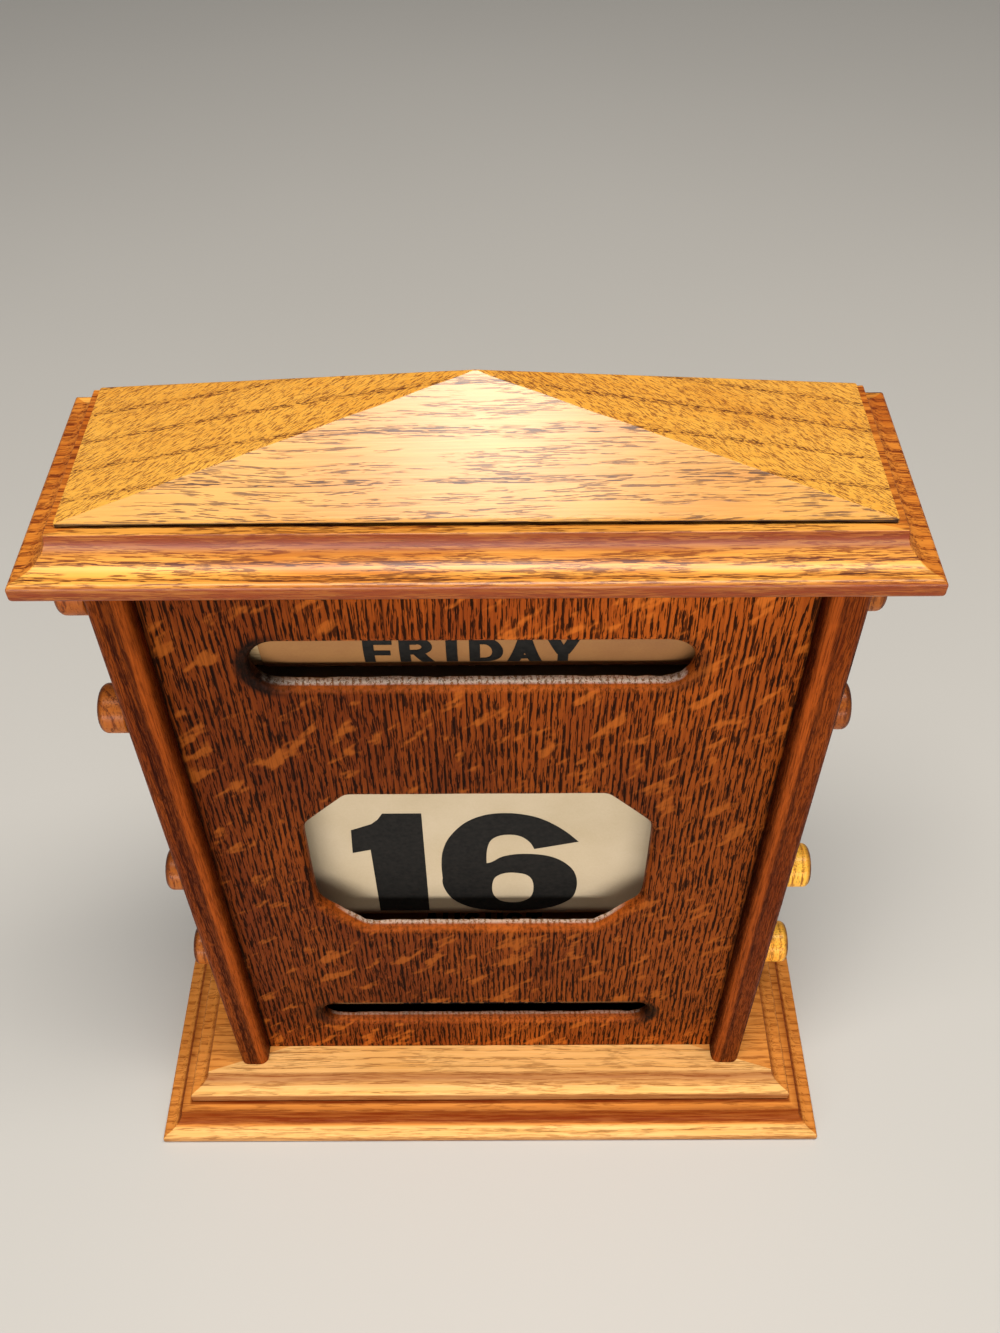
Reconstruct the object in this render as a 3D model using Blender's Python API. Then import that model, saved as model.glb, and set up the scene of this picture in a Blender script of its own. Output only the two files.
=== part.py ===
"""Perpetual desk calendar in oak.

A narrow upright case stands on a stepped, moulded base and wears a moulded cap with a low
pyramid roof. Four axles cross the case, each with a turned knob on both ends. The top and
bottom axles turn drums that carry the weekday and month names. The two middle ones wind a
printed band of dates from one roller to the other, behind the tall window.

Units are metres, +X is to the right as seen from the front, +Y goes from front to back and
+Z is up. The origin is on the surface that the calendar stands on, under the centre of
its base.
"""

import math

import bmesh
import bpy

# Clearances
joint_gap = 0.0003          # between faces that are glued or screwed together
running_clearance = 0.0004  # between an axle and its bore in a side board, all round
cut_overrun = 0.002         # how far a cutter passes the face that it cuts
weld_distance = 0.000001    # closes the poles of turned pieces

# Case: two side boards, a front panel let in between them, and a back panel
case_width = 0.192
case_height = 0.2557
side_thickness = 0.0104
side_front_radius = 0.0030
panel_recess = 0.0074       # front panel's face behind the side boards' front edges
panel_thickness = 0.0040
panel_groove_depth = 0.0036
back_thickness = 0.0045
back_rebate = 0.0052

# Windows in the front panel; the slots are about level with their drums' axles, and the
# date window fills the height between the two date rollers' axles but for a margin. The
# widths and heights are those of the outlines on the panel's face, outside the rounding
window_offset = -0.0020     # the two upper windows lie a little left of the middle
month_slot_offset = -0.0011
window_round = 0.0030       # radius of the rounding of the windows' front edges
day_slot_width = 0.1240
day_slot_height = 0.0224
day_slot_drop = 0.0007      # of the weekday slot, below its drum's axle
month_slot_width = 0.1270
month_slot_height = 0.0181
date_window_width = 0.1138
date_window_margin = 0.0040
date_corner_width_share = 0.147   # of the window's width
date_corner_height_share = 0.218  # of the window's height

# Axles and the drums, rollers and printed papers on them
day_axle_drop = 0.0357      # from the case's top
month_axle_rise = 0.0266    # from the case's bottom
axle_radius = 0.0032
end_float = 0.0031          # play of a drum between the side boards, at each end
day_drum_radius = 0.0218
month_drum_radius = 0.0228
drum_to_panel_clearance = 0.0025
drum_to_back_clearance = 0.0036
drum_ease = 0.0008
strip_thickness = 0.0003
strip_width = 0.1270
day_strip_offset = 0.0068   # the weekday sleeve sits to the right of its drum's middle
upper_roller_clearance = 0.0128  # between the weekday sleeve and the scroll below it
lower_roller_clearance = 0.0134  # between the month sleeve and the scroll above it
roller_radius = 0.0120
scroll_wound_thickness = 0.0035
scroll_thickness = 0.0003
scroll_side_margin = 0.0081      # of the scroll behind the panel, past the date window
scroll_wrap_angle = math.radians(75)

# Knobs
knob_radius = 0.0078
knob_thickness = 0.0087
knob_edge_radius = 0.0022
knob_back_radius = 0.0007
knob_dome = 0.0005
knob_glue_wall = 0.0026     # wood left between the axle's end and the knob's face
knob_reach = 0.0192         # from the case's side to the middle of the knob's domed face

# Base boards; each has a vertical nose, a narrow lip and a cove up to its top
base_side_overhang = 0.0305
base_front_overhang = 0.0212
base_back_overhang = 0.0010
base_board_thickness = 0.0112
base_nose_radius = 0.0013
base_lip_width = 0.0008
upper_base_inset = 0.0113
lower_nose_height = 0.0038
lower_moulding_width = 0.0074
upper_nose_height = 0.0055
upper_moulding_width = 0.0068

# Cap board and roof block
cap_side_overhang = 0.0140
cap_front_overhang = 0.0055
cap_back_overhang = 0.0010
cap_thickness = 0.0134
cap_nose_height = 0.0054
cap_nose_radius = 0.0016
cap_lip_width = 0.0004
cap_moulding_width = 0.0090
roof_side_margin = 0.0113
roof_front_margin = 0.0114
roof_back_margin = 0.0101
roof_edge_height = 0.0012
roof_rise = 0.0233
roof_undercut_height = 0.0009
roof_undercut_depth = 0.0040
roof_undercut_end = 0.0020  # wood left at each end of the undercut

# Wood screws
screw_radius = 0.0012
screw_head_radius = 0.0024
screw_head_height = 0.0014
screw_point_length = 0.0024
back_screw_length = 0.0120
back_screw_margin = 0.0200
cap_screw_length = 0.0240
base_screw_length = 0.0380
frame_screw_margin = 0.0140
roof_screw_length = 0.0200
roof_screw_spacing = 0.0900

# Counts
round_steps = 6
knob_round_steps = 4
cove_steps = 8
slot_steps = 18
window_round_steps = 3
axle_segments = 24
drum_segments = 48
knob_segments = 24
screw_segments = 8
back_screws_per_side = 3

# Where each axle rests in its end play, as a share of the play, negative to the left
day_shift_share = -0.90
date_upper_shift_share = -0.90
date_lower_shift_share = 0.10
month_shift_share = 0.20

# Worked out from the sizes above
inside_width = case_width - 2 * side_thickness
drum_length = inside_width - 2 * end_float
sleeve_build = joint_gap + strip_thickness
largest_sleeve_radius = max(day_drum_radius, month_drum_radius) + sleeve_build
axle_setback = panel_thickness + drum_to_panel_clearance + largest_sleeve_radius
case_depth = (panel_recess + axle_setback + largest_sleeve_radius
              + drum_to_back_clearance + back_thickness)

base_width = case_width + 2 * base_side_overhang
base_depth = base_front_overhang + case_depth + base_back_overhang
base_front = -base_depth / 2
base_back = base_depth / 2
upper_base_bottom = base_board_thickness + joint_gap
base_top = upper_base_bottom + base_board_thickness

case_front = base_front + base_front_overhang
case_back = case_front + case_depth
case_bottom = base_top + joint_gap
case_top = case_bottom + case_height
panel_front = case_front + panel_recess
panel_back = panel_front + panel_thickness
back_panel_front = case_back - back_thickness
side_middle = (case_width - side_thickness) / 2

cap_bottom = case_top + joint_gap
cap_top = cap_bottom + cap_thickness
cap_width = case_width + 2 * cap_side_overhang
cap_front = case_front - cap_front_overhang
cap_back = case_back + cap_back_overhang
roof_width = cap_width - 2 * roof_side_margin
roof_front = cap_front + roof_front_margin
roof_back = cap_back - roof_back_margin
roof_middle = (roof_front + roof_back) / 2
roof_bottom = cap_top + joint_gap

wound_radius = roller_radius + joint_gap + scroll_wound_thickness
scroll_radius = wound_radius + joint_gap + scroll_thickness
scroll_width = date_window_width + 2 * scroll_side_margin
axle_y = panel_front + axle_setback
day_z = case_top - day_axle_drop
month_z = case_bottom + month_axle_rise
date_upper_z = (day_z - day_drum_radius - sleeve_build - upper_roller_clearance
                - scroll_radius)
date_lower_z = (month_z + month_drum_radius + sleeve_build + lower_roller_clearance
                + scroll_radius)
date_z = (date_upper_z + date_lower_z) / 2
date_window_height = date_upper_z - date_lower_z - 2 * date_window_margin
date_corner_width = date_corner_width_share * date_window_width
date_corner_height = date_corner_height_share * date_window_height


def clear_scene():
    """Remove everything that is in the scene."""
    for item in list(bpy.data.objects):
        bpy.data.objects.remove(item, do_unlink=True)


def finish(name, hex_colour, roughness, metallic=0.0):
    """A Principled material; the colour is an sRGB hex value."""
    channels = [int(hex_colour[i:i + 2], 16) / 255 for i in (0, 2, 4)]
    linear = [c / 12.92 if c <= 0.04045 else ((c + 0.055) / 1.055) ** 2.4 for c in channels]
    material = bpy.data.materials.new(name)
    material.use_nodes = True
    shader = material.node_tree.nodes["Principled BSDF"]
    shader.inputs["Base Color"].default_value = (*linear, 1.0)
    shader.inputs["Roughness"].default_value = roughness
    shader.inputs["Metallic"].default_value = metallic
    material.diffuse_color = (*linear, 1.0)
    return material


def place_object(name, work, material, parent=None, smooth_angle=None):
    """Turn a finished bmesh into a named object, with its normals pointing out."""
    bmesh.ops.recalc_face_normals(work, faces=work.faces)
    mesh = bpy.data.meshes.new(name)
    work.to_mesh(mesh)
    work.free()
    if smooth_angle is not None:
        mesh.shade_smooth()
        mesh.set_sharp_from_angle(angle=smooth_angle)
    if material is not None:
        mesh.materials.append(material)
    item = bpy.data.objects.new(name, mesh)
    item.parent = parent
    bpy.context.scene.collection.objects.link(item)
    return item


def arc(centre, radius, start, end, steps):
    """Points of a circular arc in a plane, both ends included; angles are in degrees."""
    angles = [math.radians(start + (end - start) * i / steps) for i in range(steps + 1)]
    return [(centre[0] + radius * math.cos(a), centre[1] + radius * math.sin(a)) for a in angles]


def add_prism(work, points, run):
    """Extrude a flat outline along a vector into a closed solid."""
    face = work.faces.new([work.verts.new(point) for point in points])
    extruded = bmesh.ops.extrude_face_region(work, geom=[face])["geom"]
    moved = [part for part in extruded if isinstance(part, bmesh.types.BMVert)]
    bmesh.ops.translate(work, verts=moved, vec=run)


def add_box(work, low, high):
    """An upright box between two corners."""
    floor = [(low[0], low[1], low[2]), (high[0], low[1], low[2]),
             (high[0], high[1], low[2]), (low[0], high[1], low[2])]
    add_prism(work, floor, (0, 0, high[2] - low[2]))


def add_loft(work, rings):
    """Join rings of equally many points, one after another, and close both ends."""
    rows = [[work.verts.new(point) for point in ring] for ring in rings]
    count = len(rows[0])
    work.faces.new(rows[0])
    work.faces.new(rows[-1])
    for low, high in zip(rows, rows[1:]):
        for i in range(count):
            j = (i + 1) % count
            work.faces.new([low[i], low[j], high[j], high[i]])


def add_turned(work, outline, axis, centre, segments, closed=False):
    """Spin an outline of (height, radius) pairs round an axis through a centre.

    A closed outline makes a ring with a hole through it. An open one starts and ends on the
    axis, where its points are welded into poles.
    """
    across = (axis[2], axis[0], axis[1])
    verts = [work.verts.new([c + height * a + radius * b for c, a, b in zip(centre, axis, across)])
             for height, radius in outline]
    pairs = list(zip(verts, verts[1:]))
    if closed:
        pairs.append((verts[-1], verts[0]))
    before = set(work.verts) - set(verts)
    edges = [work.edges.new(pair) for pair in pairs]
    bmesh.ops.spin(work, geom=verts + edges, cent=centre, axis=axis, angle=math.tau,
                   steps=segments, use_merge=True)
    if not closed:
        made = [vert for vert in work.verts if vert not in before]
        bmesh.ops.remove_doubles(work, verts=made, dist=weld_distance)


def cut(item, name, work):
    """Cut every solid of a bmesh out of an object."""
    cutter = place_object(name, work, None)
    cutter.hide_render = True
    cutter.display_type = "WIRE"
    boolean = item.modifiers.new(name, "BOOLEAN")
    boolean.operation = "DIFFERENCE"
    boolean.solver = "EXACT"
    boolean.object = cutter


def bore(work, axis, centre, steps):
    """A round cutter; steps lists (height, radius) pairs along the axis from the centre."""
    outline = [(steps[0][0], 0)] + steps + [(steps[-1][0], 0)]
    add_turned(work, outline, axis, centre, screw_segments)


def nose_and_cove(bottom, thickness, nose_height, radius, lip, width):
    """Edge outline of a board: (inset, height) pairs from its bottom to its top.

    The nose is rounded below and above. A narrow lip follows, and then a cove: a quarter
    ellipse that starts level at the lip and ends upright at the top.
    """
    start = radius + lip
    nose_top = bottom + nose_height
    cove_height = thickness - nose_height
    below = arc((radius, bottom + radius), radius, 270, 180, round_steps)
    above = arc((radius, nose_top - radius), radius, 180, 90, round_steps)
    turns = [math.pi / 2 * i / cove_steps for i in range(cove_steps + 1)]
    cove = [(start + (width - start) * math.sin(t), nose_top + cove_height * (1 - math.cos(t)))
            for t in turns]
    return below + above + cove


def moulded_board(name, half_width, front, back, outline, back_moulded, material):
    """A board whose edges follow an outline of (inset, height) pairs.

    Its back edge is moulded like the others, or left square as one flat face.
    """
    work = bmesh.new()
    rows = []
    for inset, height in outline:
        side = half_width - inset
        rear = back - inset if back_moulded else back
        rows.append([work.verts.new(point) for point in (
            (side, rear, height), (side, front + inset, height),
            (-side, front + inset, height), (-side, rear, height))])
    work.faces.new(rows[0])
    work.faces.new(rows[-1])
    for low, high in zip(rows, rows[1:]):
        for i in range(3):
            work.faces.new([low[i], low[i + 1], high[i + 1], high[i]])
        if back_moulded:
            work.faces.new([low[3], low[0], high[0], high[3]])
    if not back_moulded:
        work.faces.new([row[0] for row in rows] + [row[3] for row in reversed(rows)])
    return place_object(name, work, material, smooth_angle=math.radians(30))


def frame_screw_places():
    """Where screws enter the end grain of the side boards, above and below."""
    rows = (case_front + frame_screw_margin, case_back - frame_screw_margin)
    return [(side * side_middle, y) for side in (-1, 1) for y in rows]


def back_screw_places():
    """Where the back panel's screws go: a column down each side."""
    x = (inside_width + back_rebate) / 2
    low, high = case_bottom + back_screw_margin, case_top - back_screw_margin
    rows = [low + (high - low) * i / (back_screws_per_side - 1) for i in range(back_screws_per_side)]
    return [(side * x, z) for side in (-1, 1) for z in rows]


def roof_screw_places():
    """Where screws go up through the cap board into the roof block."""
    return [(side * roof_screw_spacing / 2, roof_middle) for side in (-1, 1)]


def make_base(oak):
    """Two moulded boards, one on the other, square at the back."""
    lower_edge = nose_and_cove(0, base_board_thickness, lower_nose_height, base_nose_radius,
                               base_lip_width, lower_moulding_width)
    upper_edge = nose_and_cove(upper_base_bottom, base_board_thickness, upper_nose_height,
                               base_nose_radius, base_lip_width, upper_moulding_width)
    lower = moulded_board("base_lower_board", base_width / 2, base_front, base_back,
                          lower_edge, False, oak)
    upper = moulded_board("base_upper_board", base_width / 2 - upper_base_inset,
                          base_front + upper_base_inset, base_back, upper_edge, False, oak)
    head = screw_head_radius + joint_gap
    shank = screw_radius + joint_gap
    sink = joint_gap + screw_head_height + joint_gap
    for board, label in ((lower, "lower_screw_holes"), (upper, "upper_screw_holes")):
        work = bmesh.new()
        for x, y in frame_screw_places():
            bore(work, (0, 0, 1), (x, y, 0), [(-cut_overrun, head), (sink, head), (sink, shank),
                                              (base_top + cut_overrun, shank)])
        cut(board, label, work)


def side_section(side):
    """Plan of one side board: rounded front edges, a groove for the panel, a back rebate."""
    outer = case_width / 2
    inner = inside_width / 2
    radius = side_front_radius
    groove_floor = inner + panel_groove_depth
    rebate_floor = inner + back_rebate
    groove_front, groove_back = panel_front - joint_gap, panel_back + joint_gap
    rebate_front = back_panel_front - joint_gap
    points = arc((outer - radius, case_front + radius), radius, 360, 270, round_steps)
    points += arc((inner + radius, case_front + radius), radius, 270, 180, round_steps)
    points += [(inner, groove_front), (groove_floor, groove_front),
               (groove_floor, groove_back), (inner, groove_back),
               (inner, rebate_front), (rebate_floor, rebate_front),
               (rebate_floor, case_back), (outer, case_back)]
    return [(side * x, y, case_bottom) for x, y in points]


def make_side(name, side, oak):
    """One upright side board, bored for the axles and drilled for its screws."""
    work = bmesh.new()
    add_prism(work, side_section(side), (0, 0, case_height))
    board = place_object(name, work, oak, smooth_angle=math.radians(30))
    holes = bmesh.new()
    radius = axle_radius + running_clearance
    start = inside_width / 2 - cut_overrun
    end = case_width / 2 + cut_overrun
    for z in (day_z, date_upper_z, date_lower_z, month_z):
        outline = [(side * start, 0), (side * start, radius), (side * end, radius), (side * end, 0)]
        add_turned(holes, outline, (1, 0, 0), (0, axle_y, z), axle_segments)
    pilot = screw_radius + joint_gap
    base_end = joint_gap + base_screw_length + joint_gap
    cap_end = cap_top - joint_gap - cap_screw_length - joint_gap
    for x, y in frame_screw_places():
        if x * side > 0:
            bore(holes, (0, 0, 1), (x, y, 0), [(case_bottom - cut_overrun, pilot),
                                               (base_end, pilot)])
            bore(holes, (0, 0, 1), (x, y, 0), [(cap_end, pilot), (case_top + cut_overrun, pilot)])
    back_end = case_back - back_screw_length - joint_gap
    for x, z in back_screw_places():
        if x * side > 0:
            bore(holes, (0, 1, 0), (x, 0, z), [(back_end, pilot), (case_back + cut_overrun, pilot)])
    cut(board, name + "_holes", holes)


def slot_outline(width, height):
    """A maker of a round-ended slot's outline, grown outwards by any amount all round."""
    reach = (width - height) / 2

    def grown(grow):
        radius = height / 2 + grow
        return (arc((reach, 0), radius, -90, 90, slot_steps)
                + arc((-reach, 0), radius, 90, 270, slot_steps))
    return grown


def cut_corner_outline(width, height, corner_width, corner_height):
    """A maker of a cut-cornered rectangle's outline, grown outwards by any amount."""
    slope = math.atan2(corner_height, corner_width)

    def grown(grow):
        x_out, z_out = width / 2 + grow, height / 2 + grow
        x_in = width / 2 - corner_width + grow * math.tan(slope / 2)
        z_in = height / 2 - corner_height + grow * math.tan(math.pi / 4 - slope / 2)
        top = [(x_out, z_in), (x_in, z_out), (-x_in, z_out), (-x_out, z_in)]
        return top + [(-x, -z) for x, z in top]
    return grown


def add_window(work, outline, centre_x, centre_z):
    """A cutter for one window, whose front edge it rounds over by a quarter circle.

    The first facet of the quarter circle runs on, through the panel's face and past it.
    """
    turns = [math.pi / 2 * i / window_round_steps for i in range(1, window_round_steps + 1)]
    rounding = [(window_round * (1 - math.cos(turn)), -window_round * math.sin(turn))
                for turn in turns]
    past = (-rounding[0][0], -rounding[0][1])
    behind = (panel_thickness + cut_overrun, -window_round)
    add_loft(work, [[(centre_x + x, panel_front + depth, centre_z + z) for x, z in outline(grow)]
                    for depth, grow in [past] + rounding + [behind]])


def make_front_panel(oak):
    """The thin front panel with its three windows."""
    half = inside_width / 2 + panel_groove_depth - joint_gap
    work = bmesh.new()
    add_box(work, (-half, panel_front, case_bottom), (half, panel_back, case_top))
    panel = place_object("front_panel", work, oak)
    windows = bmesh.new()
    add_window(windows, slot_outline(day_slot_width, day_slot_height), window_offset,
               day_z - day_slot_drop)
    add_window(windows, cut_corner_outline(date_window_width, date_window_height,
                                           date_corner_width, date_corner_height),
               window_offset, date_z)
    add_window(windows, slot_outline(month_slot_width, month_slot_height),
               month_slot_offset, month_z)
    cut(panel, "windows", windows)


def make_back_panel(oak):
    """The thin back panel, let into the side boards' rebates, with its screw holes."""
    half = inside_width / 2 + back_rebate - joint_gap
    work = bmesh.new()
    add_box(work, (-half, back_panel_front, case_bottom), (half, case_back, case_top))
    panel = place_object("back_panel", work, oak)
    holes = bmesh.new()
    head = screw_head_radius + joint_gap
    shank = screw_radius + joint_gap
    sink = case_back - screw_head_height - joint_gap
    for x, z in back_screw_places():
        bore(holes, (0, 1, 0), (x, 0, z), [(back_panel_front - cut_overrun, shank), (sink, shank),
                                           (sink, head), (case_back + cut_overrun, head)])
    cut(panel, "back_screw_holes", holes)


def make_cap(oak):
    """The moulded cap board, with holes for the screws that pass it both ways."""
    edge = nose_and_cove(cap_bottom, cap_thickness, cap_nose_height, cap_nose_radius,
                         cap_lip_width, cap_moulding_width)
    board = moulded_board("cap_board", cap_width / 2, cap_front, cap_back, edge, True, oak)
    holes = bmesh.new()
    head = screw_head_radius + joint_gap
    shank = screw_radius + joint_gap
    sink = joint_gap + screw_head_height + joint_gap
    low, high = cap_bottom - cut_overrun, cap_top + cut_overrun
    for x, y in frame_screw_places():
        bore(holes, (0, 0, 1), (x, y, 0), [(low, shank), (cap_top - sink, shank),
                                           (cap_top - sink, head), (high, head)])
    for x, y in roof_screw_places():
        bore(holes, (0, 0, 1), (x, y, 0), [(low, head), (cap_bottom + sink, head),
                                           (cap_bottom + sink, shank), (high, shank)])
    cut(board, "cap_screw_holes", holes)


def make_roof(oak):
    """The roof block: a low pyramid on a thin upright edge, undercut along its front."""
    half = roof_width / 2
    corners = [(-half, roof_front), (half, roof_front), (half, roof_back), (-half, roof_back)]
    eave = roof_bottom + roof_edge_height
    work = bmesh.new()
    floor = [work.verts.new((x, y, roof_bottom)) for x, y in corners]
    eaves = [work.verts.new((x, y, eave)) for x, y in corners]
    apex = work.verts.new((0, roof_middle, eave + roof_rise))
    work.faces.new(floor)
    for i in range(4):
        j = (i + 1) % 4
        work.faces.new([floor[i], floor[j], eaves[j], eaves[i]])
        work.faces.new([eaves[i], eaves[j], apex])
    block = place_object("roof_block", work, oak)
    cuts = bmesh.new()
    end = half - roof_undercut_end
    add_box(cuts, (-end, roof_front - cut_overrun, roof_bottom - cut_overrun),
            (end, roof_front + roof_undercut_depth, roof_bottom + roof_undercut_height))
    pilot = screw_radius + joint_gap
    tip = cap_bottom + joint_gap + roof_screw_length + joint_gap
    for x, y in roof_screw_places():
        bore(cuts, (0, 0, 1), (x, y, 0), [(roof_bottom - cut_overrun, pilot), (tip, pilot)])
    cut(block, "roof_cuts", cuts)


def make_screws(label, length, places, turn, material):
    """Flat-headed wood screws, one at each place; unturned, they point down from their heads."""
    work = bmesh.new()
    neck = length - screw_point_length
    outline = [(-length, 0), (-neck, screw_radius), (-screw_head_height, screw_radius),
               (0, screw_head_radius), (0, 0)]
    add_turned(work, outline, (0, 0, 1), (0, 0, 0), screw_segments)
    first = place_object(label + "_1", work, material, smooth_angle=math.radians(30))
    screws = [first]
    for number in range(2, len(places) + 1):
        copy = bpy.data.objects.new(f"{label}_{number}", first.data)
        bpy.context.scene.collection.objects.link(copy)
        screws.append(copy)
    for screw, place in zip(screws, places):
        screw.location = place
        screw.rotation_euler = turn


def make_all_screws(brass, steel):
    """The screws of the back panel, the base, the cap board and the roof block."""
    upwards = (math.pi, 0, 0)
    forwards = (-math.pi / 2, 0, 0)
    make_screws("back_screw", back_screw_length,
                [(x, case_back, z) for x, z in back_screw_places()], forwards, brass)
    make_screws("base_screw", base_screw_length,
                [(x, y, joint_gap) for x, y in frame_screw_places()], upwards, steel)
    make_screws("cap_screw", cap_screw_length,
                [(x, y, cap_top - joint_gap) for x, y in frame_screw_places()], (0, 0, 0), steel)
    make_screws("roof_screw", roof_screw_length,
                [(x, y, cap_bottom + joint_gap) for x, y in roof_screw_places()], upwards, steel)


def make_knob(name, side, axis_empty, oak):
    """A turned button with a rounded face and a blind hole that is glued on the axle."""
    hole_radius = axle_radius + joint_gap
    hole_end = knob_thickness - knob_glue_wall
    back = arc((knob_back_radius, knob_radius - knob_back_radius), knob_back_radius,
               180, 90, knob_round_steps // 2)
    face = arc((knob_thickness - knob_edge_radius, knob_radius - knob_edge_radius),
               knob_edge_radius, 90, 0, knob_round_steps)
    outline = ([(hole_end, 0), (hole_end, hole_radius), (0, hole_radius)] + back + face
               + [(knob_thickness + knob_dome, 0)])
    start = case_width / 2 + knob_reach - knob_dome - knob_thickness
    work = bmesh.new()
    add_turned(work, [(side * (start + height), radius) for height, radius in outline],
               (1, 0, 0), (0, 0, 0), knob_segments)
    place_object(name, work, oak, axis_empty, math.radians(40))


def make_axle(label, height, shift_share, materials):
    """An axle with a knob on each end; returns the empty on its axis that carries them."""
    axis_empty = bpy.data.objects.new(label + "_axis", None)
    axis_empty.location = (shift_share * end_float, axle_y, height)
    bpy.context.scene.collection.objects.link(axis_empty)
    reach = case_width / 2 + knob_reach - knob_dome - knob_glue_wall - joint_gap
    work = bmesh.new()
    add_turned(work, [(-reach, 0), (-reach, axle_radius), (reach, axle_radius), (reach, 0)],
               (1, 0, 0), (0, 0, 0), axle_segments)
    place_object(label + "_axle", work, materials["dowel"], axis_empty, math.radians(40))
    make_knob(label + "_knob_left", -1, axis_empty, materials["knob"])
    make_knob(label + "_knob_right", 1, axis_empty, materials["knob"])
    return axis_empty


def make_core(name, radius, axis_empty, dowel):
    """A wooden drum or roller, bored for its axle, with eased arrises."""
    half = drum_length / 2
    hole = axle_radius + joint_gap
    outline = [(-half, hole), (-half, radius - drum_ease), (-half + drum_ease, radius),
               (half - drum_ease, radius), (half, radius - drum_ease), (half, hole)]
    work = bmesh.new()
    add_turned(work, outline, (1, 0, 0), (0, 0, 0), drum_segments, closed=True)
    place_object(name, work, dowel, axis_empty, math.radians(40))


def make_sleeve(name, inner, thickness, width, offset, axis_empty, paper):
    """A round of printed paper on a drum or roller."""
    left, right = offset - width / 2, offset + width / 2
    outline = [(left, inner), (left, inner + thickness), (right, inner + thickness), (right, inner)]
    work = bmesh.new()
    add_turned(work, outline, (1, 0, 0), (0, 0, 0), drum_segments, closed=True)
    place_object(name, work, paper, axis_empty, math.radians(40))


def make_scroll_span(paper):
    """The stretch of scroll between the rollers, wrapped part of the way round both."""
    wrap = math.degrees(scroll_wrap_angle)
    steps = 2 * round_steps

    def path(radius):
        above = arc((axle_y, date_upper_z), radius, 180 - wrap, 180, steps)
        below = arc((axle_y, date_lower_z), radius, 180, 180 + wrap, steps)
        return above + below

    section = path(scroll_radius) + path(scroll_radius - scroll_thickness)[::-1]
    work = bmesh.new()
    add_prism(work, [(-scroll_width / 2, y, z) for y, z in section], (scroll_width, 0, 0))
    place_object("date_scroll_span", work, paper, smooth_angle=math.radians(40))


def main():
    clear_scene()
    golden_oak = finish("golden_oak", "C27A35", 0.35)
    brown_oak = finish("brown_oak", "8F5226", 0.35)
    dark_oak = finish("dark_oak", "7C3D1B", 0.35)
    knob_oak = finish("knob_oak", "B9733A", 0.35)
    dowel = finish("pale_dowel", "C9A878", 0.6)
    paper = finish("printed_paper", "CFC3A6", 0.8)
    brass = finish("brass", "B08D48", 0.35, 1.0)
    steel = finish("steel", "8A8A88", 0.4, 1.0)
    materials = {"knob": knob_oak, "dowel": dowel}

    make_base(golden_oak)
    make_side("left_side_board", -1, brown_oak)
    make_side("right_side_board", 1, brown_oak)
    make_front_panel(dark_oak)
    make_back_panel(dark_oak)
    make_cap(golden_oak)
    make_roof(golden_oak)
    make_all_screws(brass, steel)

    day = make_axle("day", day_z, day_shift_share, materials)
    make_core("day_drum", day_drum_radius, day, dowel)
    make_sleeve("day_name_strip", day_drum_radius + joint_gap, strip_thickness, strip_width,
                day_strip_offset, day, paper)

    month = make_axle("month", month_z, month_shift_share, materials)
    make_core("month_drum", month_drum_radius, month, dowel)
    make_sleeve("month_name_strip", month_drum_radius + joint_gap, strip_thickness, strip_width,
                0, month, paper)

    for label, height, shift_share in (("date_upper", date_upper_z, date_upper_shift_share),
                                       ("date_lower", date_lower_z, date_lower_shift_share)):
        date = make_axle(label, height, shift_share, materials)
        make_core(label + "_roller", roller_radius, date, dowel)
        make_sleeve(label + "_scroll_roll", roller_radius + joint_gap, scroll_wound_thickness,
                    scroll_width, 0, date, paper)
    make_scroll_span(paper)


main()
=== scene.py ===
"""Looks for the oak perpetual desk calendar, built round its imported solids.

The case, base, cap and roof are varnished oak, cut from boards whose fibres run in known
directions, so each oak finish is one solid pattern of growth rings, pores and rays that
every face cuts through. Lengths in this script are millimetres until a mesh is made.
"""
import math
from functools import partial

import bmesh
import bpy
import numpy as np
from mathutils import Matrix, Vector


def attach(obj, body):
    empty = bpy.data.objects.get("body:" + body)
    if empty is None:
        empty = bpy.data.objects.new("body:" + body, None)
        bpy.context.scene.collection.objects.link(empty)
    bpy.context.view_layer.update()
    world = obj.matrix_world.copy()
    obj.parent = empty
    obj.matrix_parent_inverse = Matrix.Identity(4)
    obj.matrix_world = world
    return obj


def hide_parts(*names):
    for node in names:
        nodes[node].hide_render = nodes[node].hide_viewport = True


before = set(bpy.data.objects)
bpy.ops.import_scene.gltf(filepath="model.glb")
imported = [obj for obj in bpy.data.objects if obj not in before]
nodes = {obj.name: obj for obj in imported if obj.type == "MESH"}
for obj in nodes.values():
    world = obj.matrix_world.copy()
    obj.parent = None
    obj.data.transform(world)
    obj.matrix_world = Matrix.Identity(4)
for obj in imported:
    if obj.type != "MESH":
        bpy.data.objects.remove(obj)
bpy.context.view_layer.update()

# Places of the parts, in mm, from the solids
axle_y = 13.0
day_z, date_upper_z, date_lower_z, month_z = 243.0, 191.4, 102.8, 49.6
day_shift, date_upper_shift, date_lower_shift, month_shift = -2.79, -2.79, 0.31, 0.62
panel_front, case_back, case_bottom, case_top = -16.9, 45.5, 23.0, 278.7
day_sleeve_radius, month_sleeve_radius, scroll_bend_radius = 22.4, 23.4, 16.4
half_scroll, half_sleeve = 65.0, 63.5


# ---------------------------------------------------------------- meshes

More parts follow.
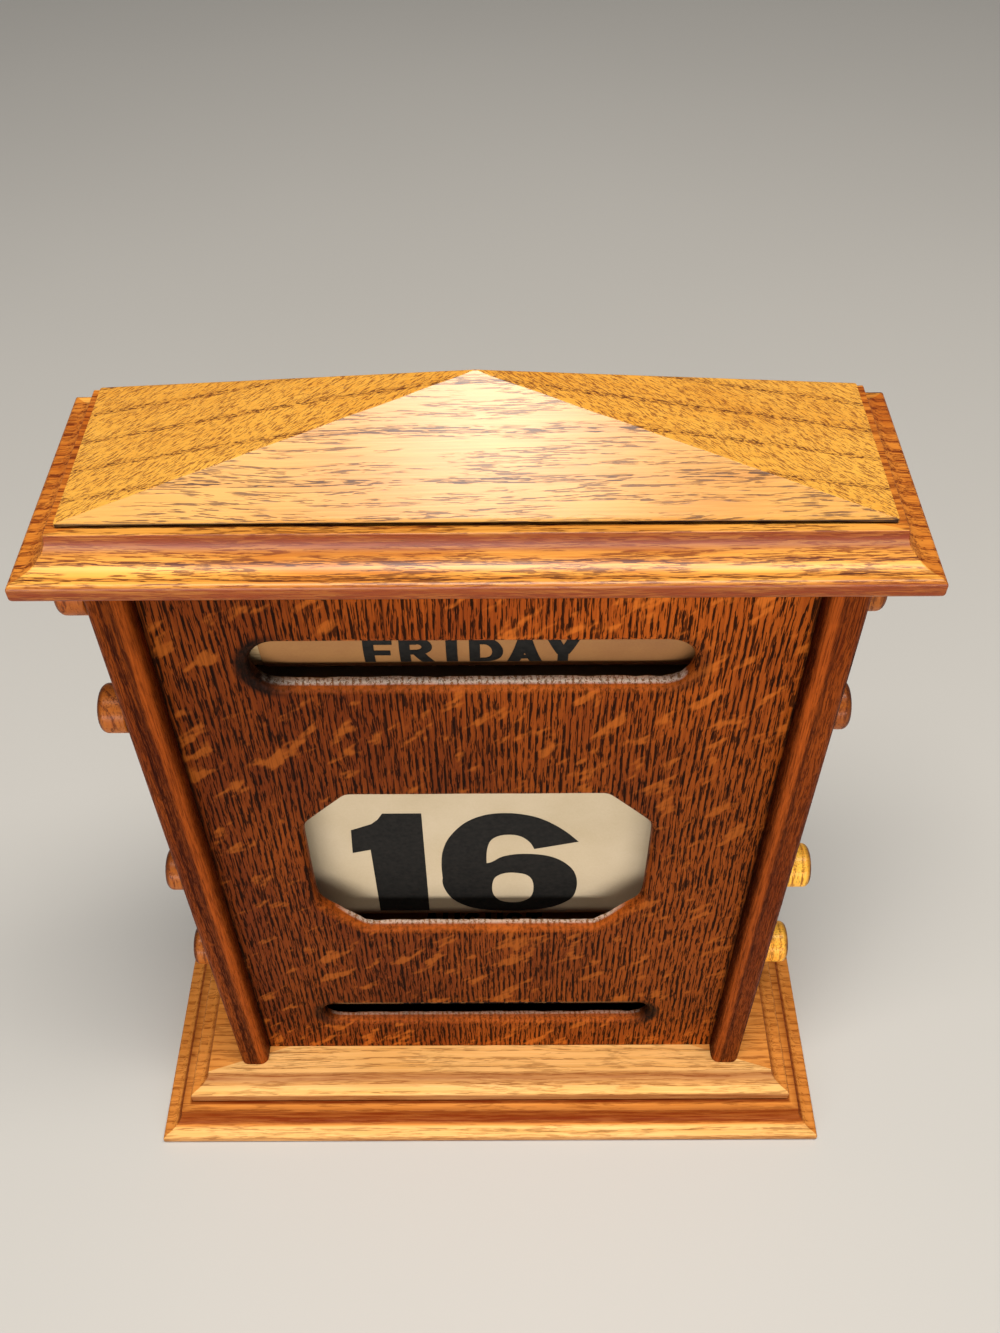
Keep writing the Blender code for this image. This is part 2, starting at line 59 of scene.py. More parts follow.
def grid_faces(rows, columns, closed_rows=False, closed_columns=False):
    """Quads of a grid whose point (i, j) has the index i * columns + j. A closed direction
    joins its last points to its first."""
    i = np.arange(rows if closed_rows else rows - 1)[:, None]
    j = np.arange(columns if closed_columns else columns - 1)
    next_i, next_j = (i + 1) % rows, (j + 1) % columns
    return np.stack([i * columns + j, i * columns + next_j, next_i * columns + next_j,
                     next_i * columns + j], -1).reshape(-1, 4)


def points_at(x, y, z):
    """The points of a grid, from coordinates that may be the same along a row or column."""
    return np.stack(np.broadcast_arrays(x, y, z), -1)


def skin(rings):
    """A closed skin over a stack of closed rings, each end filled by a fan to its middle."""
    count, columns = rings.shape[:2]
    j, end = np.arange(columns), count * columns
    fans = [np.stack([first + j, first + (j + 1) % columns, np.full(columns, middle)], -1)
            for first, middle in ((0, end), (end - columns, end + 1))]
    return (np.concatenate([rings.reshape(-1, 3), rings[[0, -1]].mean(1)]),
            [grid_faces(count, columns, closed_columns=True)] + fans)


def tube(rings):
    """A closed skin over closed rings of which the last is followed by the first."""
    return rings.reshape(-1, 3), [grid_faces(*rings.shape[:2], True, True)]


def slab(top, under, closed=False):
    """A closed slab between two sheets of points that are grids of the same size. A closed
    one is a band whose last row is followed by its first."""
    rows, columns = top.shape[:2]
    size = rows * columns
    index = np.arange(size).reshape(rows, columns)
    if closed:
        here, after = (rim[:, [0, -1]].T.ravel() for rim in (index, np.roll(index, -1, 0)))
    else:
        here = np.concatenate([index[0, :-1], index[:-1, -1], index[-1, :0:-1], index[:0:-1, 0]])
        after = np.roll(here, -1)
    sheet = grid_faces(rows, columns, closed_rows=closed)
    sides = np.stack([here, after, after + size, here + size], -1)
    return np.concatenate([top.reshape(-1, 3), under.reshape(-1, 3)]), [sheet, sheet + size, sides]


def joined(shapes):
    """Several (points, faces) shapes as one."""
    starts = np.cumsum([0] + [len(points) for points, _ in shapes])
    return (np.concatenate([points for points, _ in shapes]),
            [block + start for (_, faces), start in zip(shapes, starts) for block in faces])


def new_object(name, data):
    """A mesh, lamp or camera as an object in the scene."""
    made = bpy.data.objects.new(name, data)
    bpy.context.scene.collection.objects.link(made)
    return made


def add_piece(name, shape, body, slot, materials, replaced=(), sharp=32.0, **marks):
    """Makes the mesh of one piece, with its doubles merged and its faces turned outwards.
    marks are attributes that the material reads, with a value for each point."""
    points, faces = shape
    mesh = bpy.data.meshes.new(name)
    mesh.from_pydata((points * 0.001).tolist(), [],
                     [face for block in faces for face in block.tolist()])
    for mark, values in marks.items():
        mesh.attributes.new(mark, "FLOAT", "POINT").data.foreach_set("value", values)
    work = bmesh.new()
    work.from_mesh(mesh)
    bmesh.ops.remove_doubles(work, verts=work.verts, dist=1e-7)
    bmesh.ops.recalc_face_normals(work, faces=work.faces)
    work.to_mesh(mesh)
    work.free()
    return finish_piece(name, mesh, body, materials, replaced, sharp)


def finish_piece(name, mesh, body, materials, replaced, sharp):
    """Gives a mesh its materials and smooth shading up to the angle sharp, with normals that
    keep large flat faces flat, and ties it to its CAD body."""
    mesh.materials.clear()
    for material in materials:
        mesh.materials.append(material)
    mesh.polygons.foreach_set("material_index", np.zeros(len(mesh.polygons), np.int32))
    mesh.shade_smooth()
    mesh.set_sharp_from_angle(angle=math.radians(sharp))
    piece = new_object(name, mesh)
    piece.modifiers.new("even_normals", "WEIGHTED_NORMAL").keep_sharp = True
    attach(piece, body)
    if replaced:
        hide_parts(*replaced)
    return piece


def side_board(label, material):
    """A side board in its CAD node's own shape, merged so that its round edge is smooth."""
    node, name = label + "_side_board", label + "_side_rounded"
    mesh = nodes[node].data.copy()
    mesh.name = name
    work = bmesh.new()
    work.from_mesh(mesh)
    bmesh.ops.remove_doubles(work, verts=work.verts, dist=1e-6)
    bmesh.ops.dissolve_limit(work, angle_limit=math.radians(0.5), verts=work.verts,
                             edges=work.edges)
    work.to_mesh(mesh)
    work.free()
    finish_piece(name, mesh, "case", [material], (node,), 32.0)


def dress(names, material):
    """Gives CAD nodes that keep their own shape a procedural material."""
    for name in names:
        slots = nodes[name].data.materials
        slots.clear()
        slots.append(material)


# ---------------------------------------------------------------- outlines

def circle_part(centre, radii, start, end, steps):
    """Points on an ellipse from one angle to another, in degrees."""
    turn = np.radians(np.linspace(start, end, steps + 1))
    return np.stack([centre[0] + radii[0] * np.cos(turn), centre[1] + radii[1] * np.sin(turn)], -1)


def runs(stops, counts):
    """Even steps from each stop to the next, so many for each run, without the last stop."""
    return np.concatenate([np.linspace(a, b, count, endpoint=False)
                           for a, b, count in zip(stops, stops[1:], counts)])


def smooth_curve(points, per_span, closed=False):
    """A curve through every given point: on each span, the cubic whose slope at a point is
    half the step from the point before it to the point after it."""
    points = np.asarray(points, float)
    first, last = (points[-1:], points[:2]) if closed else (2 * points[:1] - points[1:2],
                                                            2 * points[-1:] - points[-2:-1])
    known = np.concatenate([first, points, last])
    t = np.linspace(0, 1, per_span, endpoint=False)[None, :, None]
    a, b, c, d = (known[k:len(known) - 3 + k, None, :] for k in range(4))
    curve = 0.5 * (2 * b + (c - a) * t + (2 * a - 5 * b + 4 * c - d) * t ** 2
                   + (3 * b - a - 3 * c + d) * t ** 3)
    curve = curve.reshape(-1, points.shape[1])
    return curve if closed else np.concatenate([curve, points[-1:]])


def loop_weights(per_width, per_depth, per_corner):
    """Weights of the points of a rounded rectangle: along, deep, and the corner's direction.

    A point lies at along * (half width - radius) to the side and at the share deep of the
    depth between the corner centres, moved by the radius in the corner's direction.
    """
    wide, long = np.linspace(-1, 1, per_width), np.linspace(0, 1, per_depth)
    turn = np.radians(np.linspace(0, 90, per_corner + 2)[1:-1])
    sin, cos = np.sin(turn), np.cos(turn)
    parts = ((wide, 0, 0, -1), (1, 0, sin, -cos), (1, long, 1, 0), (1, 1, cos, sin),
             (-wide, 1, 0, 1), (-1, 1, -sin, cos), (-1, 1 - long, -1, 0), (-1, 0, -cos, -sin))
    return np.concatenate([np.stack(np.broadcast_arrays(*part), -1) for part in parts]).T


def nose_and_cove(bottom, thickness, nose_height, radius, lip, width, arris=0.25):
    """(inset, height) pairs up the edge of a board: a nose rounded below and above, a narrow
    lip, and a quarter ellipse that starts level at the lip and ends upright at the top,
    where the arris is eased by a small arc."""
    start, nose_top, top = radius + lip, bottom + nose_height, bottom + thickness
    turn = np.radians(np.linspace(0, 88, 24))
    cove = np.stack([start + (width - start) * np.sin(turn),
                     nose_top + (thickness - nose_height) * (1 - np.cos(turn))], -1)
    return np.concatenate([
        circle_part((radius, bottom + radius), (radius, radius), 270, 180, 8),
        circle_part((radius, nose_top - radius), (radius, radius), 180, 90, 8),
        cove[cove[:, 1] < top - arris],
        circle_part((width + arris, top - arris), (arris, arris), 180, 90, 4)])


def turned(outline, centre_y, centre_z, segments=96, closed=False):
    """A surface of revolution round an axle: each (x, radius) of the outline is carried round
    the circle. An open outline starts and ends on the axis, in one point each."""
    outline = np.asarray(outline, float)
    turn = np.linspace(0, 2 * np.pi, segments, endpoint=False)
    x, radius = (outline if closed else outline[1:-1]).T[:, :, None]
    rings = points_at(x, centre_y + radius * np.cos(turn), centre_z + radius * np.sin(turn))
    if closed:
        return tube(rings)
    points, faces = skin(rings)
    points[-2:, 0] = outline[[0, -1], 0]
    return points, faces


# ---------------------------------------------------------------- woodwork

def moulded_board(name, replaced, half_width, front, profile, back_share, material, shades,
                  soaked):
    """A board with moulded edges: each (inset, height) of its profile gives a ring, which is
    a rounded rectangle that much smaller on the front and the two sides, and by back_share
    of that at the back.

    shades are (inset, how dark) pairs along the moulding: stain gathered in the coves, with
    painted shade on their steep faces and, on the lower board, a painted shadow where the upper
    board stands on it. The lowest 0.9 mm is painted dark as the shade under the nose, and the
    two ends are darker too. The attribute end is 1 where the wood soaked up more varnish: on
    the two ends, and from the inset soaked inwards.
    """
    along, deep, out_x, out_y = loop_weights(41, 17, 4)
    inset, height = profile.T[:, :, None]
    corner = np.minimum(0.35, half_width - inset)
    near, far = front + inset + corner, case_back - back_share * inset - corner
    rings = points_at(along * (half_width - inset - corner) + out_x * corner,
                      near + deep * (far - near) + out_y * corner, height)
    dark = np.interp(inset, *np.transpose(shades))
    # Painted shade under the nose: the lowest 0.9 mm is made fully dark
    dark[height < height[0] + 0.9] = 1.0
    ends = np.abs(out_x) > 0.9
    end = np.maximum(ends, np.clip((inset - soaked) / 0.8, 0, 1))
    add_piece(name, skin(rings), "case", "golden_oak", [material], (replaced,),
              dark=np.append(np.maximum(dark, 0.42 * ends), (0.0, 0.0)),
              end=np.append(end, (0.0, 0.0)))


def pyramid_roof(material, across):
    """The low pyramid: rings from the eave to the apex, each a rounded rectangle that shrinks
    in a straight line, with hips that wander by a few hundredths of a millimetre. Under
    its front edge the ring is lifted by an arch that is highest in the middle, and the faces
    below the slopes are marked darker, the front one most. The two end slopes, which cut
    across the fibres and soak up more varnish, get a finish of their own, also painted lighter
    than the front slope's to offset the stronger light on the front."""
    half, front, back, bottom, eave, apex = 98.7, -18.4, 35.4, 292.7, 293.9, 317.2
    along, deep, out_x, out_y = loop_weights(61, 21, 4)
    at_front = out_y < -0.9
    arch = np.where(at_front, 0.25 + 0.65 * (1 - along ** 4), 0.0) * (np.abs(along) < 0.97)
    # Below the slope, each ring's inset, height over the bottom, share of the arch and corner
    inset, lift, arched, corner = np.transpose([
        (4.2, 0.0, 0.0, 0.3), (4.0, 0.0, 1.0, 0.3), (0.12, 0.0, 1.0, 0.5), (0.0, 0.1, 1.0, 0.5),
        (0.0, 0.95, 0.0, 0.5)])[:, :, None]
    share = np.append(np.linspace(0, 0.96, 40), (0.98, 0.992, 1.0))[:, None]
    wander = 0.12 * np.sin(share * 31 + 4 * along) * np.sin(np.pi * np.minimum(share * 4, 1) / 2)
    height = np.concatenate([bottom + lift + arched * arch,
                             eave + (apex - eave) * share + 0 * arch])
    shrink = np.concatenate([0 * lift, share])
    inset = np.concatenate([inset, 0 * share + 0.12])
    corner = np.minimum(np.concatenate([corner + 0 * arch, 0.6 + 2 * wander]), (1 - shrink) * 20)
    side = (half - inset) * (1 - shrink) - corner
    reach = ((back - front) / 2 - inset) * (1 - shrink) - corner
    rings = points_at(along * side + out_x * corner,
                      (front + back) / 2 - reach + 2 * deep * reach + out_y * corner, height)
    dark = np.zeros(rings.shape[:2])
    dark[:len(lift)] = 0.35 + 0.65 * at_front
    roof = add_piece("pyramid_roof", skin(rings), "case", "golden_oak", [material, across],
                     ("roof_block",), sharp=24.0, dark=np.append(dark, (1.0, 0.0))).data
    facing = np.zeros(3 * len(roof.polygons))
    roof.polygons.foreach_get("normal", facing)
    ends = np.abs(facing[::3]) > 0.15
    roof.polygons.foreach_set("material_index", ends.astype(np.int32))


def window_loops():
    """Outlines of the three windows, from the lowest up, as (base, direction) loops of the
    same number of points: base + grow * direction is the outline grown by that much all round.

    Each has 96 points along its lower side, 24 up its right one, 96 back along its upper
    one and 24 down its left one. A slot is a half circle at each end; the date window is a
    rectangle whose corners are cut off.
    """
    def slot(width, height):
        reach = (width - height) / 2
        place = runs((-reach, -reach, reach, reach, -reach, -reach), (12, 72, 48, 72, 36))
        turn = np.radians(runs((225, 270, 270, 315, 405, 450, 450, 495, 585),
                               (12, 72, 12, 24, 12, 72, 12, 24)))
        direction = np.stack([np.cos(turn), np.sin(turn)], -1)
        return place[:, None] * (1, 0) + direction * height / 2, direction

    def cut_rectangle(grow):
        half_width, half_height, cut_width, cut_height = 56.9, 40.3, 16.73, 17.57
        slope = math.atan2(cut_height, cut_width)
        x_out, z_out = half_width + grow, half_height + grow
        x_in = half_width - cut_width + grow * math.tan(slope / 2)
        z_in = half_height - cut_height + grow * math.tan(math.pi / 4 - slope / 2)
        x_mid, z_mid = (x_out + x_in) / 2, (z_out + z_in) / 2
        half = np.array([(-x_mid, -z_mid), (-x_in, -z_out), (x_in, -z_out), (x_mid, -z_mid),
                         (x_out, -z_in), (x_out, z_in)])
        loop = runs(np.concatenate([half, -half, half[:1]]), (10, 76, 10, 6, 12, 6) * 2)
        for _ in range(3):
            loop = 0.25 * np.roll(loop, 1, 0) + 0.5 * loop + 0.25 * np.roll(loop, -1, 0)
        return loop

    base = cut_rectangle(0.0)
    return slot(127.0, 18.1), (base, cut_rectangle(1.0) - base), slot(124.0, 22.4)


def rough(count, seed, reach):
    """A closed run of random heights from 0 to 1, averaged over a number of neighbours."""
    heights = np.random.default_rng(seed).random(count)
    spread = np.exp(-0.5 * (np.minimum(np.arange(count), count - np.arange(count)) / reach) ** 2)
    smooth = np.real(np.fft.ifft(np.fft.fft(heights) * np.fft.fft(spread / spread.sum())))
    return np.clip((smooth - smooth.mean()) / (3.2 * smooth.std()) + 0.5, 0, 1)


# Each window from the lowest up: its band's bottom and top, its centre, the seed of its
# roughness, the degrees round its edge from which the sawn wood is pale and painted near white
# as lit, how pale that is and how worn the edge, and where its ends are painted as shade: from
# how far out, and how much at each end
windows = ((case_bottom, 88.0, (-1.1, 49.6), 3, 80.0, 0.72, 0.28, 53.0, (0.8, 1.0)),
           (88.0, 206.0, (-2.0, 147.1), 5, 80.0, 0.85, 0.5, 200.0, (0.0, 0.0)),
           (206.0, case_top, (-2.0, 242.3), 8, 62.0, 1.0, 0.5, 47.0, (1.0, 0.5)))


def windowed_panel(material):
    """The front panel as three bands. In each, rings lead from the band's rectangle over the
    face to the window, round its edge in a quarter circle, along its wall to a back arris
    with small breakouts where the saw came through, and over the back to the rectangle.

    The attribute for worn and lit edges rises over the rounding, which is worn, and again to
    the sawn wall, which is pale; it is given only on the lower sides, whose rounding and wall
    face up into the light, so it is partly painted light. dark is 1 round the ends of the
    slots: painted shade on their roundings and end walls.
    """
    half, radius, thickness = 88.9, 3.0, 4.0
    sides = np.repeat(range(4), (96, 24, 96, 24))     # below, right, above, left
    j = np.arange(len(sides))
    columns, rows = (np.linspace(0, 1, count, endpoint=False)[:, None] for count in (96, 24))
    turn = np.linspace(0, 90, 11)[:, None]
    sin, cos = np.sin(np.radians(turn)), np.cos(np.radians(turn))
    shapes, bare, dark = [], [], []
    for (base, direction), window in zip(window_loops(), windows):
        low, high, centre, seed, pale_from, pale, worn, shaded_from, end_shade = window
        stops = np.array([(-half, low), (half, low), (half, high), (-half, high), (-half, low)])
        rectangle = np.concatenate([a + (b - a) * share for a, b, share
                                    in zip(stops, stops[1:], (columns, rows) * 2)])
        chip = (0.08 + 0.55 * direction[:, 1] ** 2) * rough(len(j), seed, 0.9) ** 1.8
        wave = 0.22 * (rough(len(j), seed + 1, 4.0) - 0.5)
        even = 0 * wave
        grow = np.concatenate([[even + 1.8, even + 0.5], wave * turn / 90 - radius * sin,
                               wave - radius + np.outer((0, 0.05, 0.9), chip)])
        depth = np.concatenate([[even] * 3, radius * (1 - cos) + even,
                                [even + 3.5, thickness - 0.03 - chip], [even + thickness] * 2])
        flat = np.concatenate([rectangle[None], centre + base + grow[:, :, None] * direction,
                               rectangle[None]])
        points = np.stack([flat[..., 0], panel_front + depth, flat[..., 1]], -1)
        fade = worn * np.clip(turn / 45, 0, 1)
        fade = fade + (pale - fade) * np.clip((turn - pale_from) / 14 + 0.5, 0, 1)
        # Only the lower sides, which face up into the light, get the worn and pale marks: partly
        # painted light
        level = np.clip((-direction[:, 1] - 0.3) / 0.5, 0, 1)
        bare.append(np.concatenate([[[0.0]] * 3, fade, [[pale]] * 3, [[0.0]]]) * level)
        # Painted shade round the ends of the slots
        ends = np.clip((np.abs(base[:, 0]) - shaded_from) / 9, 0, 1)
        ends = ends * np.where(base[:, 0] < 0, *end_shade)
        dark.append(np.outer([0.0, 0.0, 0.7] + [1.0] * (len(turn) + 3) + [0.0], ends))
        outer = ((sides % 2 == 1) | (sides == 0) & (low == case_bottom)
                 | (sides == 2) & (high == case_top))
        here, after, back = j[outer], (j[outer] + 1) % len(j), (len(points) - 1) * len(j)
        shapes.append((points.reshape(-1, 3),
                       [grid_faces(*points.shape[:2], closed_columns=True),
                        np.stack([here, after, back + after, back + here], -1)]))
    add_piece("windowed_front_panel", joined(shapes), "case", "dark_oak", [material],
              ("front_panel",), sharp=28.0, bare=np.ravel(bare), dark=np.ravel(dark))


def knob(name, side, height, shift, body, material):
    """A turned button: its back arris is eased, its edge is a quarter circle that runs out
    into a shallow dome, and a blind hole takes the axle."""
    start, radius, thick, edge, back = 106.0, 7.8, 8.7, 2.2, 0.7
    ease = circle_part((back, radius - back), (back, back), 180, 90, 5)
    rim = circle_part((thick - edge, radius - edge), (edge, edge), 90, 4, 12)
    inner = np.linspace(rim[-1, 1], 0, 9)[1:]
    dome = np.stack([rim[-1, 0] + 0.5 * (1 - (inner / rim[-1, 1]) ** 2), inner], -1)
    outline = np.concatenate([[(6.1, 0), (6.1, 3.5), (0.15, 3.5), (0, 3.65)], ease, rim, dome])
    dark = np.repeat(np.clip((outline[1:-1, 0] - (thick - edge)) / 1.6, 0, 1), 96)
    outline[:, 0] = side * (start + outline[:, 0]) + shift
    add_piece(name + "_turned", turned(outline, axle_y, height), body, "knob_oak", [material],
              (name,), sharp=40.0, dark=np.append(dark, (0.0, 0.6)))


# ---------------------------------------------------------------- papers and print

def sleeve(name, replaced, radius, centre_x, height, body, material):
    """A paper sleeve on a drum: a thin tube, with one lap where its end is pasted down."""
    turn = np.linspace(0, 2 * np.pi, 192, endpoint=False)
    outer = radius - 0.12 * (np.abs(np.mod(turn - 2.6, 2 * np.pi) - 0.1) > 0.1)
    inner = radius - 0.35 + 0 * turn
    x = np.array([-1, -0.9985, 0.9985, 1, 1, -1])[:, None] * half_sleeve + centre_x
    size = np.stack([outer - 0.08, outer, outer, outer - 0.08, inner, inner])
    rings = points_at(x, axle_y - size * np.cos(turn), height + size * np.sin(turn))
    add_piece(name, tube(rings), body, "paper", [material], (replaced,), sharp=40.0)


def wrapped(flat, radius, low, high):
    """Lays flat (x, z, lift) points on a paper: upright between the levels low and high, and
    bent round the radius above and below them, where the length left over becomes an angle.
    On a drum, low and high are its axle's level. lift is added to the radius."""
    x, z, lift = np.moveaxis(flat, -1, 0)
    level = np.clip(z, low, high)
    turn = (z - level) / radius
    return np.stack([x, axle_y - (radius + lift) * np.cos(turn),
                     level + (radius + lift) * np.sin(turn)], -1)


on_scroll = partial(wrapped, radius=scroll_bend_radius, low=date_lower_z, high=date_upper_z)


def date_scroll(material):
    """The scroll between its rollers: a thin sheet that leaves each roller at a tangent."""
    past, thin = 21.4, 0.3
    stops = (date_lower_z - past, date_lower_z, date_upper_z, date_upper_z + past)
    z = np.append(runs(stops, (32, 40, 32)), stops[-1])[:, None]
    x = np.linspace(-half_scroll, half_scroll, 41)
    shape = slab(*(on_scroll(points_at(x, z, lift)) for lift in (0.0, -thin)))
    add_piece("date_scroll_sheet", shape, "case", "paper", [material], ("date_scroll_span",),
              sharp=40.0)


def winding(name, replaced, shift, height, body, material):
    """The wound half of the scroll on a roller: a ring whose two ends show the edges of its
    turns as shallow steps."""
    turns = np.linspace(12.3, 15.8, 25)
    end = half_scroll - 0.25 * (np.arange(25) % 2)
    outline = np.concatenate([np.stack([shift - end, turns], -1),
                              np.stack([shift + end, turns], -1)[::-1]])
    add_piece(name, turned(outline, axle_y, height, closed=True), body, "paper", [material],
              (replaced,), sharp=30.0)


def slant(foot, head, width, bottom=0.0, top=1.0):
    """A leaning stroke cut level at both ends: foot and head are its left corners."""
    left = np.array([(foot, bottom), (head, top)], float)
    return left, left + (width, 0.0)


def bar(left, right, bottom, top):
    """An upright or level stroke."""
    return slant(left, left, right - left, bottom, top)


def bow(centre, outer, start, end, stem=0.26, level=0.215, steps=26):
    """A curved stroke between two ellipses: thick where it runs upright, thinner where it
    runs level."""
    inner = (outer[0] - stem, outer[1] - level)
    return [circle_part(centre, radii, start, end, steps) for radii in (outer, inner)]


def ess():
    """The letter S, as a stroke carried along a path of two opposed bows."""
    upper = circle_part((0.40, 0.725), (0.265, 0.185), 12, 262, 26)
    lower = circle_part((0.41, 0.283), (0.28, 0.195), 82, -170, 26)
    path = smooth_curve(np.concatenate([upper[::4], lower[1::4]]), 4)
    along = np.gradient(path, axis=0)
    normal = np.stack([-along[:, 1], along[:, 0]], -1)
    normal /= np.linalg.norm(normal, axis=1, keepdims=True)
    thick = np.hypot(0.25 * normal[:, :1], 0.20 * normal[:, 1:])
    return path + normal * thick / 2, path - normal * thick / 2


def alphabet():
    """Wide heavy capitals without serifs, one unit high: for each letter its width and its
    strokes, each given by its two edges. s is the width of a stem and b that of a level bar."""
    s, b = 0.255, 0.215
    stem = bar(0, s, 0, 1)
    arm = partial(bar, s - 0.02)
    bowl = [arm(0.42, 1 - b, 1), arm(0.42, 0.40, 0.59),
            bow((0.42, 0.70), (0.36, 0.30), -90, 90, 0.25, 0.2)]
    return {
        "A": (0.84, [slant(0, 0.265, 0.30), slant(0.54, 0.275, 0.30), bar(0.18, 0.66, 0.17, 0.35)]),
        "B": (0.80, [stem, arm(0.44, 1 - b, 1), arm(0.44, 0.41, 0.59), arm(0.44, 0, b),
                     bow((0.42, 0.735), (0.33, 0.265), -90, 90, 0.25, 0.2),
                     bow((0.43, 0.295), (0.37, 0.295), -90, 90, 0.26, 0.21)]),
        "C": (0.84, [bow((0.44, 0.5), (0.44, 0.515), 42, 318)]),
        "D": (0.80, [stem, arm(0.36, 1 - b, 1), arm(0.36, 0, b),
                     bow((0.35, 0.5), (0.45, 0.5), -90, 90)]),
        "E": (0.70, [stem, arm(0.70, 1 - b, 1), arm(0.65, 0.40, 0.595), arm(0.70, 0, b)]),
        "F": (0.69, [stem, arm(0.69, 1 - b, 1), arm(0.64, 0.37, 0.57)]),
        "G": (0.88, [bow((0.44, 0.5), (0.44, 0.515), 42, 330), bar(0.46, 0.87, 0.34, 0.53),
                     bar(0.64, 0.87, 0.02, 0.5)]),
        "H": (0.82, [stem, bar(0.82 - s, 0.82, 0, 1), arm(0.84 - s, 0.40, 0.60)]),
        "I": (0.27, [bar(0, 0.27, 0, 1)]),
        "J": (0.66, [bar(0.66 - s, 0.66, 0.34, 1),
                     bow((0.33, 0.36), (0.33, 0.375), 180, 360, s, 0.2)]),
        "L": (0.66, [stem, arm(0.66, 0, b)]),
        "M": (1.00, [bar(0, 0.24, 0, 1), bar(0.76, 1.0, 0, 1), slant(0.36, 0.02, 0.28),
                     slant(0.36, 0.70, 0.28)]),
        "N": (0.83, [stem, bar(0.83 - s, 0.83, 0, 1), slant(0.52, 0.01, 0.30)]),
        "O": (0.90, [bow((0.45, 0.5), (0.45, 0.515), 0, 360, steps=48)]),
        "P": (0.78, [stem] + bowl),
        "R": (0.82, [stem] + bowl + [slant(0.52, 0.30, 0.30, 0, 0.46)]),
        "S": (0.80, [ess()]),
        "T": (0.74, [bar(0, 0.74, 1 - b, 1), bar(0.37 - s / 2, 0.37 + s / 2, 0, 0.9)]),
        "U": (0.80, [bar(0, s, 0.36, 1), bar(0.8 - s, 0.8, 0.36, 1),
                     bow((0.40, 0.38), (0.40, 0.395), 180, 360, s, 0.21)]),
        "V": (0.84, [slant(0.27, 0, 0.30), slant(0.27, 0.54, 0.30)]),
        "W": (1.18, [slant(0.17, 0, 0.27), slant(0.17, 0.455, 0.27), slant(0.74, 0.455, 0.27),
                     slant(0.74, 0.91, 0.27)]),
        "Y": (0.82, [slant(0.26, 0, 0.30, 0.40, 1), slant(0.26, 0.52, 0.30, 0.40, 1),
                     bar(0.41 - s / 2, 0.41 + s / 2, 0, 0.46)]),
    }


# Room after a letter, and pairs whose slopes lie in one another
letter_room = {"I": 0.28, "A": 0.10, "Y": 0.08, "T": 0.10, "V": 0.08, "W": 0.08, "L": 0.10}
pair_room = {"RI": 0.28, "AY": 0.08, "DA": 0.09, "NI": 0.28}


def word_strokes(word, letters):
    """The strokes of a word one unit high, centred on 0, and the word's width."""
    strokes, place = [], 0.0
    for number, letter in enumerate(word):
        width, parts = letters[letter]
        strokes += [(left + (place, 0.0), right + (place, 0.0)) for left, right in parts]
        room = pair_room.get(word[number:number + 2], letter_room.get(letter, 0.16))
        place += width + (room if number < len(word) - 1 else 0)
    return [(left - (place / 2, 0.0), right - (place / 2, 0.0)) for left, right in strokes], place


def print_strokes(strokes, scale, place, bend, spacing=0.1, across=4):
    """Closed slabs of ink for a list of strokes, scaled, moved and bent on to a paper: rows of
    points run along each stroke and columns from edge to edge. Each stroke lies a hair
    higher than the one before it, so that none share a face."""
    share = np.linspace(0, 1, across)[:, None]
    shapes = []
    for number, (left, right) in enumerate(strokes):
        length = np.linalg.norm(np.diff((left + right) / 2, axis=0), axis=1)
        length = np.append(0, np.cumsum(length))
        count = max(2, math.ceil(length[-1] / spacing) + 1)
        even = np.unique(np.append(np.linspace(0, length[-1], count), length))
        start, end = (np.stack([np.interp(even, length, part) for part in edge.T], -1)[:, None]
                      for edge in (left, right))
        x, z = np.moveaxis((start * (1 - share) + end * share) * scale + place, -1, 0)
        closed = np.allclose(left[0], left[-1]) and np.allclose(right[0], right[-1])
        rows = slice(-1) if closed else slice(None)
        shapes.append(slab(*(bend(points_at(x, z, lift)[rows])
                             for lift in (0.03 + 0.004 * (number % 5), -0.04)), closed))
    return shapes


def drum_names(name, words, shown, radius, height, letter_height, bottom, body, ink):
    """Names printed round a sleeve at an even pitch; the one named by shown is in front."""
    widest, centre = 104.0, -2.2
    letters = alphabet()
    pitch = 2 * np.pi * radius / len(words)
    shapes = []
    for number, word in enumerate(words):
        strokes, width = word_strokes(word, letters)
        stretch = min(1.0, widest / (width * letter_height))
        shapes += print_strokes(strokes, (letter_height * stretch, letter_height),
                                (centre, height + bottom - (number - shown) * pitch),
                                partial(wrapped, radius=radius, low=height, high=height))
    add_piece(name, joined(shapes), body, "paper", [ink], sharp=60.0)


